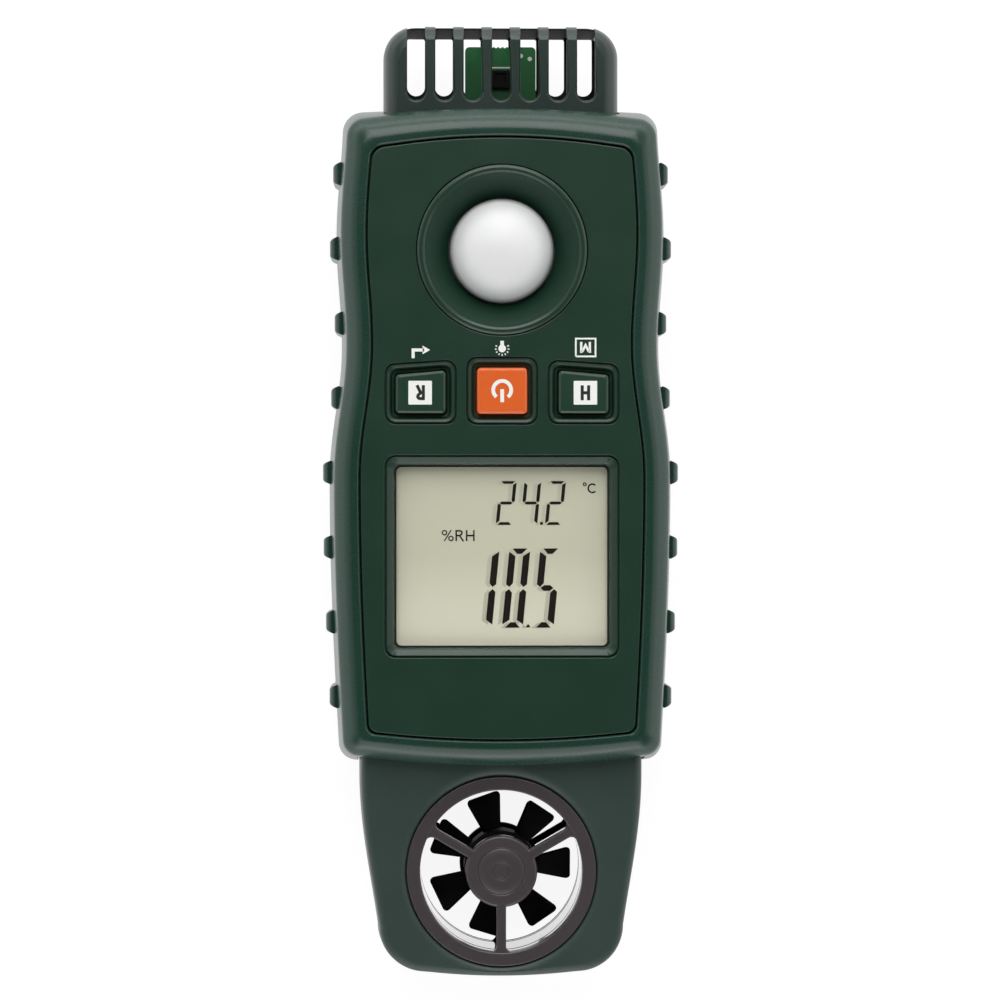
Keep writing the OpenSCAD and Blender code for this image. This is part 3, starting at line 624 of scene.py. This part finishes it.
def make_light_sensor():
    inside, outside = DOME_RADIUS + 0.3, BEZEL_RADIUS
    foot = [(inside, -6.4), (outside - 2, -6.4), (outside - 2, -1), (outside, -1)]
    bead = [(0, 0.02), (0.04, 0.09), (0.42, 0.32), (0.52, 0.36),
            (0.95, 0.36), (1.05, 0.33), (1.42, 0.16), (1.54, 0.04)]
    lip = [(outside - d, z) for d, z in bead]
    steps = (0, 0.12, 0.25, 0.4, 0.55, 0.7, 0.85, 1)
    bowl = [(mix(outside - 1.62, inside + 0.2, t), -0.1 - 4.8 * t ** 1.2) for t in steps]
    profile = [(r, FACE + z) for r, z in foot + lip + bowl + [(inside, -5.05)]]
    bezel = lathe("light_ring", profile, (0, LIGHT_Y), 160)
    dress(soften(bezel, 34), ring_plastic, "meter", "case_green", "light_bezel")

    base, wall = FACE - 4, 1.2
    ball = (DOME_RADIUS ** 2 + DOME_HEIGHT ** 2) / (2 * DOME_HEIGHT)
    centre = base + DOME_HEIGHT - ball

    def cap(r, steps):
        start = math.asin((base - centre) / r)
        turns = [mix(start, math.pi / 2, i / steps) for i in range(steps + 1)]
        return [(r * math.cos(a), centre + r * math.sin(a)) for a in turns]

    skirt = [(DOME_RADIUS - wall, FACE - 7.5), (DOME_RADIUS + 1.8, FACE - 7.5),
             (DOME_RADIUS + 1.8, FACE - 6.5), (DOME_RADIUS, FACE - 6.5)]
    profile = cap(ball - wall, 16)[::-1] + skirt + cap(ball, 26)
    dome = lathe("light_diffuser", profile, (0, LIGHT_Y), 128, closed=False)
    dress(soften(dome, 50), dome_white, "meter", "white_dome", "light_dome")


def key_cap(name, outline, flange, look, body, slot, node):
    """Crowned key on a flange, with a round stem under it."""
    crown = [(0, -3.0), (0, 0.0), (-0.03, 0.09), (-0.1, 0.17), (-0.38, 0.42), (-0.5, 0.48), (-0.75, 0.5)]
    rows = [(flange, FACE - 4.1), (flange, FACE - 3.05)] + [(outline(grow), FACE + z) for grow, z in crown]
    cap = stack(name, rows)
    middle = sum(x for x, y in outline(0)) / len(outline(0))
    foot = [(0, -4.55), (2, -4.55), (2.2, -4.4), (2.2, -3.9), (0, -3.9)]
    fuse(cap, lathe("stem", [(r, FACE + z) for r, z in foot], (middle, KEYS_Y), 48, closed=False))
    return dress(soften(cap, 34), look, body, slot, node)


def make_keys():
    def middle(grow, r):
        return block(KEY_WIDTH + 2 * grow, KEY_LENGTH + 2 * grow, r, (0, KEYS_Y))

    key_cap("power_cap", lambda grow: middle(grow, 0.75 + grow * 0.4), middle(1, 1),
            orange_plastic, "power_button", "orange_plastic", "power_key")
    for side, name in ((1, "hold"), (-1, "record")):
        key_cap(name + "_cap", lambda grow, side=side: side_key(side, grow, 0.75 + grow * 0.4),
                side_key(side, 1, 1), key_plastic, name + "_button", "case_green", name + "_key")


# Vane head

def make_vane_head():
    bore, edge = TUBE_RADIUS + 1.4, RING_RADIUS + 0.1
    dip = [(0, -1.0), (0.06, -0.8), (0.2, -0.58), (0.45, -0.38), (0.8, -0.22),
           (1.25, -0.1), (1.75, -0.03), (2.3, 0.001), (2.3, 1)]
    well = [(0, -14), (bore, -14), (bore, -1.75), (edge, -1.75)]
    seat = well + [(edge + r, z) for r, z in dip] + [(0, 1)]
    round_edge = [(0, SEAM), (0.3, 6.5), (0.5, 8.7), (0.58, 9.1), (0.75, 9.5),
                  (1.0, 9.85), (1.4, 10.15), (1.9, 10.28), (2.3, 10.3)]
    screw = [(0, 0), (2.1, 0), (2.1, 6), (1.1, 6), (1.1, MIDDLE + 1), (0, MIDDLE + 1)]
    halves = (("vane_head_face", 1, HEAD_HIGH, "vane_head_front"),
              ("vane_head_back", -1, HEAD_LOW, "vane_head_rear"))
    for name, way, face, node in halves:
        depth = abs(face - MIDDLE) / 10.3
        inner = [(head_outline(2.9, HEAD_END - 1.8), MIDDLE + way * z) for z in (7.3 * depth, SEAM)]
        half = stack(name, inner + [(head_outline(d), MIDDLE + way * z * depth) for d, z in round_edge])
        cuts = [lathe("seat", [(r, face + way * z) for r, z in seat], (0, VANE_Y), closed=False)]
        if way < 0:
            places = [(side * HEAD_SCREW[0], HEAD_SCREW[1]) for side in (-1, 1)]
            cuts += [lathe("screw_well", screw, place, 40, closed=False) for place in places]
        carve(half, *cuts)
        dress(soften(half, 36), shell_plastic, "meter", "case_green", node)


def spoke_outline(turn, width):
    """Spoke that widens into its ring with round corners."""
    fillet, end = 1.3, TUBE_RADIUS + 0.13
    v = width / 2 + fillet
    u = math.sqrt((end - fillet) ** 2 - v ** 2)
    lean = math.atan2(v, u)
    tip = ((end + 0.45) * math.cos(lean), (end + 0.45) * math.sin(lean))
    half = [(5.5, width / 2)] + arc(u, v, fillet, 270, 360 + math.degrees(lean), 8) + [tip]
    spin = Matrix.Rotation(math.radians(turn), 2)
    outline = [spin @ Vector(point) for point in half + [(x, -y) for x, y in half[::-1]]]
    return moved(outline, (0, VANE_Y))


def spoke_set(face, way, thick, width):
    """Three spokes; way is 1 where their rounded side is up."""
    rows = [(0, -thick - 0.2), (0, -0.6), (0.05, -0.4), (0.16, -0.26), (0.34, -0.2)]
    spokes = []
    for turn in SPOKES:
        rings = [(spoke_outline(turn, width - 2 * inset), face + way * z) for inset, z in rows]
        spokes.append(stack("spoke", rings))
    return spokes


def guard_ring(name, face, way, depth):
    """Flanged ring with rounded rims, down to a depth under its face."""
    r, e = TUBE_RADIUS, RING_RADIUS
    collar = [(r, -depth), (r + TUBE_WALL, -depth), (r + TUBE_WALL, -1.5), (e, -1.5)]
    outer = [(e, -0.25), (e - 0.05, -0.1), (e - 0.15, -0.02), (e - 0.3, 0)]
    inner = [(r + 0.35, 0), (r + 0.15, -0.05), (r + 0.04, -0.15), (r, -0.35)]
    profile = [(radius, face + way * z) for radius, z in collar + outer + inner]
    return lathe(name, profile, (0, VANE_Y), 160)


def make_vane_guards():
    top, low, h = HEAD_HIGH - 0.2, HEAD_LOW + 0.2, HUB_RADIUS
    ring = guard_ring("vane_front_ring", top, 1, 3)
    cup = [(0, -1), (1.65, -1), (1.65, -2.4)]
    rim = [(h - 0.2, -2.4), (h, -2.2), (h, -0.75), (h - 0.06, -0.5), (h - 0.24, -0.26), (h - 0.6, -0.1)]
    large_line = [(4.95, -0.1), (4.85, -0.16), (4.7, -0.3), (4.55, -0.16), (4.45, -0.1)]
    small_line = [(1.75, -0.1), (1.68, -0.13), (1.6, -0.24), (1.52, -0.13), (1.42, -0.1)]
    boss = [(r, top + z) for r, z in cup + rim + large_line + small_line + [(0, -0.1)]]
    hub = lathe("hub", boss, (0, VANE_Y), 120, closed=False)
    fuse(ring, hub, *spoke_set(top, 1, 2, 1.9))
    dress(soften(ring, 36), vane_plastic, "meter", "black_plastic", "vane_guard_front")

    r, foot, head = TUBE_RADIUS, HEAD_LOW + 2, top - 3.02
    step = ((0, 0.5), (0.5, 0.45), (0.5, -0.45), (0, -0.5))
    grooves = [(r + deep, z + rise) for z in (20.3, 7.6) for deep, rise in step]
    wall = [(r, foot), (r + TUBE_WALL, foot), (r + TUBE_WALL, head), (r, head)]
    tube = lathe("air_tube", wall + grooves, (0, VANE_Y), 160)
    dress(soften(tube, 36), tube_plastic, "meter", "black_plastic")

    back = guard_ring("vane_rear_ring", low, -1, 1.75)
    rim = [(8.0, -2.4), (8.2, -2.2), (8.2, -0.5), (8.1, -0.25), (7.8, -0.1), (0, -0.1)]
    hub = lathe("hub", [(r, low - z) for r, z in cup + rim], (0, VANE_Y), 120, closed=False)
    fuse(back, hub, *spoke_set(low, -1, 1.1, 1.35))
    dress(soften(back, 36), wheel_plastic, "meter", "black_plastic", "vane_guard_rear")


def make_impeller():
    drum = [(0.6, -3.2), (7.1, -3.2), (7.4, -2.9), (7.4, 5.2), (7.3, 5.4), (7.0, 5.5), (0.6, 5.5)]
    wheel = lathe("vane_wheel", [(r, BLADES_Z + z) for r, z in drum], (0, VANE_Y), 96)
    blades = []
    for i in range(BLADES):
        outline = rounded([(6.2, -2.37), (BLADE_TIP, -5.4), (BLADE_TIP, 4.6), (6.2, 1.57)], 0.9, 8)
        blade = bevelled(stack("blade", [(outline, -0.45), (outline, 0.45)]), 0.2, 30)
        place = Matrix.Translation(Vector((0, VANE_Y, BLADES_Z)) * MM)
        turn = Matrix.Rotation(math.radians(BLADE_START - i * 360 / BLADES), 4, "Z")
        blade.data.transform(place @ turn @ Matrix.Rotation(math.radians(BLADE_ANGLE), 4, "X"))
        blades.append(blade)
    fuse(wheel, *blades)
    dress(soften(wheel, 36), wheel_plastic, "vane", "black_plastic", "impeller")


# Humidity guard

def slot_cut(x, from_y, to_y, rows, square_end):
    """Cutter for one slot; rows are (growth of its round end, height)."""
    r = SLOT_WIDTH / 2
    far = [(x + r, to_y), (x - r, to_y)]
    if square_end:
        far = arc(x + r - 0.4, to_y - 0.4, 0.4, 0, 90, 5) + arc(x - r + 0.4, to_y - 0.4, 0.4, 90, 180, 5)
    return stack("slot", [(far + arc(x, from_y + r, r + grow, 180, 360, 18), z) for grow, z in rows])


def make_humidity_guard():
    centres = [(i - (SLOTS - 1) / 2) * SLOT_PITCH for i in range(SLOTS)]
    hood = [(0, SEAM), (0.1, 2.9), (0.25, 4.0), (0.48, 5.0), (0.8, 5.9),
            (1.2, 6.6), (1.65, 7.15), (2.2, 7.6), (2.8, 7.92), (3.4, 8.1)]
    hollow = [(guard_outline(1.8, GUARD_END + 1.5), MIDDLE + z) for z in (6.4, SEAM)]
    front = stack("humidity_guard_face", hollow + [(guard_outline(d), MIDDLE + z) for d, z in hood])
    lip = [(0, MIDDLE - 1), (0, GUARD_HIGH - 0.6), (0.08, GUARD_HIGH - 0.42),
           (0.4, GUARD_HIGH - 0.09), (0.55, GUARD_HIGH), (0.55, GUARD_HIGH + 1)]
    carve(front, *[slot_cut(x, BODY_TOP + 0.9, GUARD_TOP + 2, lip, False) for x in centres])
    dress(soften(front, 36), guard_plastic, "meter", "case_green", "sensor_guard_front")

    edge = [(0, SEAM), (0.12, 5.2), (0.2, 6.2), (0.3, 6.9),
            (0.5, 7.4), (0.85, 7.8), (1.4, 8.05), (2.1, 8.1)]
    hollow = [(guard_outline(d, GUARD_END + 1.5), MIDDLE - z) for d, z in ((1.3, 6.4), (0.4, SEAM))]
    rear = stack("humidity_guard_back", hollow + [(guard_outline(d), MIDDLE - z) for d, z in edge])
    lip = [(0.4, GUARD_LOW - 1), (0.4, GUARD_LOW), (0.1, GUARD_LOW + 0.2),
           (0, GUARD_LOW + 0.5), (0, GUARD_LOW + 3)]
    carve(rear, *[slot_cut(x, BODY_TOP + 3.2, GUARD_TOP - 1.32, lip, True) for x in centres])
    # The rear half takes the darker copy of the guard's green as painted shade
    dress(soften(rear, 36), guard_painted_shade, "meter", "case_green", "sensor_guard_rear")


def make_sensor_board():
    top, low, high = GUARD_TOP - 3.9, MIDDLE - 0.5, MIDDLE + 0.5
    corners = [(-BOARD_HALF, BOARD_END), (BOARD_HALF, BOARD_END), (BOARD_HALF, top), (-BOARD_HALF, top)]
    outline = rounded(corners, 0.9)
    board = stack("humidity_board", [(outline, low), (outline, high)])
    holes = [arc(i * 0.9, top + 0.05, 0.27, 0, 337.5, 15) for i in range(-2, 3)]
    carve(board, *[stack("notch", [(hole, low - 1), (hole, high + 1)]) for hole in holes])
    dress(soften(board, 36), green_board, "meter", "circuit_board", "sensor_board")

    rows = [(0, 0.01), (0, 0.9), (-0.15, 1.15), (-0.35, 1.2)]
    chip = stack("humidity_chip", [(block(3.8 + g, 3.7 + g, 0.15, (0, CHIP_Y)), high + z) for g, z in rows])
    rows = [(0, 0.85), (0.5, 1.4)]
    well = [(block(1.9 + g, 1.7 + g, 0.2, (0, CHIP_Y + 0.25)), high + z) for g, z in rows]
    carve(chip, stack("well", well))
    dress(soften(chip, 34), wheel_plastic, "meter", "chip_black", "humidity_sensor")

    dots = [arc(x, y, 0.45, 0, 352.5, 47) for x, y in ((4.2, 90.8), (6.0, 90.2))]
    pads = [stack("pad", [(dot, high + z) for z in (0.005, 0.06)]) for dot in dots]
    bar = stack("bar", [(block(3.9, 0.28, 0.05, (0, CHIP_Y + 2.45)), high + z) for z in (0.005, 0.05)])
    dress(soften(join("board_marks", pads + [bar])), tin, "meter", "circuit_board")


# Display and printed marks

def ribbon(points, width):
    """Flat strip along a line, as pairs of edge points."""
    line = [Vector(p) for p in points]
    runs = [(b - a).normalized() for a, b in zip(line, line[1:])]
    pairs = []
    for p, u, v in zip(line, runs[:1] + runs, runs + runs[-1:]):
        normal = (Vector((-u.y, u.x)) + Vector((-v.y, v.x))).normalized()
        reach = width / 2 / max(0.35, normal.dot(Vector((-u.y, u.x))))
        pairs.append((p + normal * reach, p - normal * reach))
    return pairs


def plates(name, shapes, low, high):
    """Thin raised plates; a shape is an outline or a ribbon of pairs."""
    points, faces = [], []
    for shape in shapes:
        n, start = len(shape), len(points)
        if isinstance(shape[0][0], Vector):
            for z in (low, high):
                points += [(p.x, p.y, z) for pair in shape for p in pair]
            for i in range(n - 1):
                a = start + 2 * i
                b = a + 2 * n
                faces += [(b, b + 2, b + 3, b + 1), (a, a + 1, a + 3, a + 2)]
                faces += [(a, a + 2, b + 2, b), (a + 1, b + 1, b + 3, a + 3)]
            a, e = start, start + 2 * (n - 1)
            faces += [(a, a + 2 * n, a + 2 * n + 1, a + 1), (e, e + 1, e + 2 * n + 1, e + 2 * n)]
        else:
            for z in (low, high):
                points += [(x, y, z) for x, y in shape]
            faces += [list(range(start, start + n)), list(range(start + n, start + 2 * n))]
            faces += [[start + i for i in face] for face in bands(n, 2, 1)]
    return piece_from(name, points, faces, weld=False)


# Bars that are lit in each figure, by their usual letters
LIT = {"0": "abcdef", "1": "bc", "2": "abged", "4": "fgbc", "5": "afgcd"}


def digit(figure, x, y, w, h, t, lean):
    """Bars of a seven-bar figure whose lower left corner is x, y."""
    gap, mid = t * 0.16, h / 2
    tip, shoulder = gap + t * 0.3, gap + t * 1.05
    mid_tip, mid_shoulder, mid_half = gap + t * 0.45, gap + t * 0.95, t * 0.42
    head, neck, joint, root = h - gap - t * 0.3, h - gap - t * 1.0, gap + t * 0.55, gap + t * 0.4
    top = [(tip, h), (w - tip, h), (w - shoulder, h - t * 0.8), (shoulder, h - t * 0.8)]
    upper_left = [(0, head), (t, neck), (t, mid + joint), (t * 0.5, mid + gap), (0, mid + root)]
    bars = {
        "a": top,
        "d": [(px, h - py) for px, py in top],
        "g": [(mid_tip, mid), (mid_shoulder, mid + mid_half), (w - mid_shoulder, mid + mid_half),
              (w - mid_tip, mid), (w - mid_shoulder, mid - mid_half), (mid_shoulder, mid - mid_half)],
        "f": upper_left,
        "b": [(w - px, py) for px, py in upper_left],
        "e": [(px, h - py) for px, py in upper_left],
        "c": [(w - px, h - py) for px, py in upper_left],
    }
    return [[(x + px + (py - mid) * lean, y + py) for px, py in bars[b]] for b in LIT[figure]]


def loop(x, y, r):
    """Line all the way round a circle."""
    return arc(x, y, r, 0, 337.5, 15) + [(x + r, y)]


def letter(sign, x, y, w, h, t, turned=False):
    """Plain stroke letters; turned ones stand on their heads."""
    bow = arc(w * 0.52, h * 0.75, h * 0.25 - t / 2, 90, -90, 8)
    left, right = [(t / 2, 0), (t / 2, h)], [(w - t / 2, 0), (w - t / 2, h)]
    lines = {
        "R": [left, [(t, h - t / 2), (w * 0.5, h - t / 2)] + bow[1:-1] + [(w * 0.5, h / 2), (t, h / 2)],
              [(w * 0.5, h / 2 - t * 0.3), (w - t * 0.5, 0)]],
        "H": [left, right, [(t, h / 2), (w - t, h / 2)]],
        "M": [left, right, [(t * 0.9, h - t * 0.4), (w / 2, h * 0.3), (w - t * 0.9, h - t * 0.4)]],
        "C": [arc(w * 0.55, h / 2, h / 2 - t / 2, 45, 315, 16)],
        "%": [loop(w * 0.22, h * 0.76, h * 0.2), loop(w * 0.78, h * 0.24, h * 0.2),
              [(w * 0.2, 0), (w * 0.8, h)]],
        "o": [loop(w * 0.5, h * 0.5, h * 0.5 - t / 2)],
    }[sign]
    if turned:
        lines = [[(w - px, h - py) for px, py in line] for line in lines]
    return [ribbon([(x + px, y + py) for px, py in line], t) for line in lines]


def make_display():
    top, lean = FACE - 3.6, math.tan(math.radians(5.5))
    glass = stack("display_glass", [(block(45.2, 38.8, 0.3, (0, DISPLAY_Y)), z) for z in (FACE - 5.5, top)])
    bevelled(glass, 0.1, 60)
    dress(soften(glass), pale_display, "meter", "display", "lcd_glass")

    low, high = DISPLAY_Y - 14.35, DISPLAY_Y + 6.3
    figures = []
    for sign, x in (("2", -0.8), ("4", 4.15), ("2", 9.1)):
        figures += digit(sign, x, high, 3.4, 8.8, 0.68, lean)
    for sign, x in (("1", -5.4), ("0", 0.8), ("5", 7.0)):
        figures += digit(sign, x, low, 4.2, 15.9, 1.35, lean)
    figures += [block(0.6, 0.55, 0.1, (8.0, high + 0.3))]
    figures += [[(4.8, low + 0.05), (5.8, low + 0.05), (5.3, low + 0.75)]]
    signs = letter("o", 16.3, high + 7.75, 0.8, 0.8, 0.2) + letter("C", 17.2, high + 6.35, 1.9, 2.0, 0.3)
    for sign, x, w, stroke in (("%", -12.0, 2.3, 0.22), ("R", -9.3, 1.75, 0.3), ("H", -7.2, 1.75, 0.3)):
        signs += letter(sign, x, high - 3.25, w, 2.2, stroke)
    dress(plates("display_figures", figures, top + 0.03, top + 0.05), segment_ink, "meter", "display")
    dress(plates("display_signs", signs, top + 0.03, top + 0.05), segment_ink, "meter", "display")
    # Painted shadows of the bars: pale copies set a little left and below, under the bars
    painted_bar_shadows = [[(px - 0.85, py - 0.12) for px, py in bar] for bar in figures]
    dress(plates("display_shade", painted_bar_shadows, top + 0.005, top + 0.015), segment_shade, "meter", "display")

    sheet = block(DISPLAY_WIDTH + 3.2, DISPLAY_LENGTH + 3, 1.4, (0, DISPLAY_Y))
    window = bevelled(stack("display_window", [(sheet, FACE - 3.5), (sheet, FACE - 2.3)]), 0.15, 60)
    dress(soften(window), window_clear, "meter", "clear_window", "lcd_window")

    def edge(d):
        return block(DISPLAY_WIDTH - 2 * d, DISPLAY_LENGTH - 2 * d, 1.2 - d * 0.5, (0, DISPLAY_Y))

    # Dark strip painted round the display's edge: painted shade for the gap under the bevel
    under, over = FACE - 2.29, FACE - 2.26
    edge_shade_strip = sweep("display_edge_shade", edge, [(-1.2, under), (0.4, under), (0.4, over), (-1.2, over)])
    dress(edge_shade_strip, dark_print_and_shade, "meter", "black_plastic")


def make_marks():
    """Printed marks on the keys and above them."""
    key_top = FACE + 0.5
    for sign, x, body in (("R", -16.4, "record_button"), ("H", 16.65, "hold_button")):
        y = KEYS_Y - 0.4
        patch = plates("patch_" + sign, [block(4.7, 4.75, 0.12, (x, y))], key_top - 0.02, key_top + 0.015)
        dress(patch, white_print, body, "white_plastic")
        strokes = letter(sign, x - 0.95, y - 1.5, 1.9, 3.0, 0.62, True)
        strokes = plates("sign_" + sign, strokes, key_top + 0.015, key_top + 0.03)
        dress(strokes, dark_print_and_shade, body, "case_green")
    circle, stroke = arc(0, KEYS_Y + 0.15, 1.8, -50, 230, 40), [(0, KEYS_Y + 0.3), (0, KEYS_Y - 2.3)]
    power = [ribbon(line, 0.74) for line in (circle, stroke)]
    power = plates("power_sign", power, key_top - 0.02, key_top + 0.02)
    dress(power, white_print, "power_button", "white_plastic")

    row = KEYS_Y + 8.15
    neck, neck_low, neck_top = 0.36, row + 1.1, row + 1.85
    bulb = arc(0, row + 0.3, 0.76, 120, 420, 20)
    bulb += [(neck, neck_low), (neck, neck_top), (-neck, neck_top), (-neck, neck_low)]
    near, far = arc(0, row + 0.3, 1.12, 156, 384, 8), arc(0, row + 0.3, 1.46, 156, 384, 8)
    marks = [bulb] + [ribbon(ray, 0.24) for ray in zip(near, far)]
    marks += [ribbon([(-17.8, row - 1.65), (-17.8, row), (-15.6, row)], 0.62)]
    marks += [[(-15.9, row - 0.85), (-14.4, row), (-15.9, row + 0.85)]]
    left, right, low, high = 14.75, 18.7, row - 1.25, row + 2.3
    square = [(left, low), (right, low), (right, high), (left, high), (left, low)]
    marks += [ribbon(square, 0.34)] + letter("M", 15.6, row - 0.55, 2.2, 2.2, 0.46, True)
    dress(plates("face_marks", marks, FACE - 0.02, FACE + 0.02), white_print, "meter", "white_plastic")


# Back and inside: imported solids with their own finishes

def dress_solids():
    looks = (
        (shell_plastic, ("rear_cover", "battery_cover")),
        (grey_lead, ("sensor_ribbon", "vane_ribbon")),
        (filter_glass, ("light_filter",)),
        (steel, ("photodiode", "board_screws", "case_screws", "vane_axle", "head_screws")),
        (black_plastic, ("light_spacer", "battery_snap",
                         "power_plunger", "hold_plunger", "record_plunger")),
        (white_plastic, ("lcd_frame", "lcd_backlight")),
        (contact_rubber, ("lcd_strips",)),
        (chip_plastic, ("key_switches", "board_chips", "vane_pickup")),
        (green_board, ("main_board",)),
        (battery_wrap, ("battery",)),
        (red_lead, ("battery_leads",)),
        (brass, ("tripod_insert", "vane_bearings")),
    )
    for look, names in looks:
        for name in names:
            solids[name].data.materials.clear()
            solids[name].data.materials.append(look)


# Stage

def make_stage():
    """White floor, a sky that is brightest at the horizon, and four softboxes."""
    radius, under, top = 2500, -10.3, -0.3
    floor = stack("floor", [(arc(0, 0, radius, 0, 354.375, 63), z) for z in (under, top)])
    m = finish("floor_white")
    rays = ("Is Camera Ray", "Is Glossy Ray", "Is Transmission Ray")
    seen = sum((m.node("ShaderNodeLightPath", out=ray) for ray in rays), 0.0)
    grey = m.between(m.noise(40), (0.17, 0.17, 0.17), (0.19, 0.19, 0.19))
    matt = m.node("ShaderNodeBsdfDiffuse", None, {"Color": grey})
    glow = m.node("ShaderNodeEmission", None, {"Color": (1, 1, 1), "Strength": 0.9})
    both = m.node("ShaderNodeAddShader", None, {0: matt, 1: glow})
    plain = m.node("ShaderNodeBsdfDiffuse", None, {"Color": (0.8, 0.8, 0.8)})
    mixed = m.node("ShaderNodeMixShader", None, {0: seen, 1: plain, 2: both})
    m.node("ShaderNodeOutputMaterial", None, {"Surface": mixed})
    floor.data.materials.append(m.owner)

    world = bpy.data.worlds.new("studio")
    scene.world = world
    w = Finish(world)
    way = w.node("ShaderNodeTexCoord", out="Generated")
    ahead = w.node("ShaderNodeSeparateXYZ", None, {0: way}, out=1)
    up = w.node("ShaderNodeSeparateXYZ", None, {0: way}, out=2)
    low = 1 - up
    horizon = low * low * low * low * low * low
    edge = 0.6 + ahead * 0.6 + ahead * ahead * 2.4
    bright = 0.05 + low * low * (0.7 + ahead * 0.35) + horizon * edge
    seen = w.node("ShaderNodeLightPath", out="Is Camera Ray")
    strength = bright + seen * (1 - bright)
    sky = w.node("ShaderNodeBackground", None, {"Color": (1, 1, 1), "Strength": strength})
    w.node("ShaderNodeOutputWorld", None, {"Surface": sky})

    softboxes = (("upper_softbox", (0.0, 0.75, 0.72), 0.8, 7.0),
                 ("lower_softbox", (-0.1, -0.85, 0.5), 1.0, 5.0),
                 ("left_softbox", (-0.85, 0.1, 0.5), 0.9, 1.1),
                 ("right_softbox", (0.85, 0.1, 0.5), 0.9, 1.8))
    for name, place, size, power in softboxes:
        lamp = bpy.data.lights.new(name, "AREA")
        lamp.shape = "SQUARE"
        lamp.size = size
        lamp.energy = power
        light = bpy.data.objects.new(name, lamp)
        light.location = place
        light.rotation_euler = (Vector((0, 0, 0.02)) - Vector(place)).to_track_quat("-Z", "Y").to_euler()
        scene.collection.objects.link(light)


def make_camera():
    """Straight above the face, a little to its left, at about 0.73 m."""
    distance, sideways, view_width = 0.73, -0.017, 0.2
    aim = Vector((-0.43, 0.1, FACE)) * MM
    data = bpy.data.cameras.new("camera")
    data.sensor_width = 36
    data.lens = data.sensor_width * distance / view_width
    camera = bpy.data.objects.new("camera", data)
    camera.location = aim + Vector((sideways, 0, distance))
    toward = (aim - camera.location).normalized()
    right = toward.cross(Vector((0, 1, 0))).normalized()
    up = right.cross(toward)
    turn = Matrix((right, up, -toward)).transposed().to_4x4()
    camera.matrix_world = Matrix.Translation(camera.location) @ turn
    scene.collection.objects.link(camera)
    scene.camera = camera
    scene.view_settings.view_transform = "Standard"


make_front_grip()
make_rear_grip()
make_face()
make_light_sensor()
make_keys()
make_vane_head()
make_vane_guards()
make_impeller()
make_humidity_guard()
make_sensor_board()
make_display()
make_marks()
dress_solids()
make_stage()
make_camera()

bpy.context.view_layer.update()
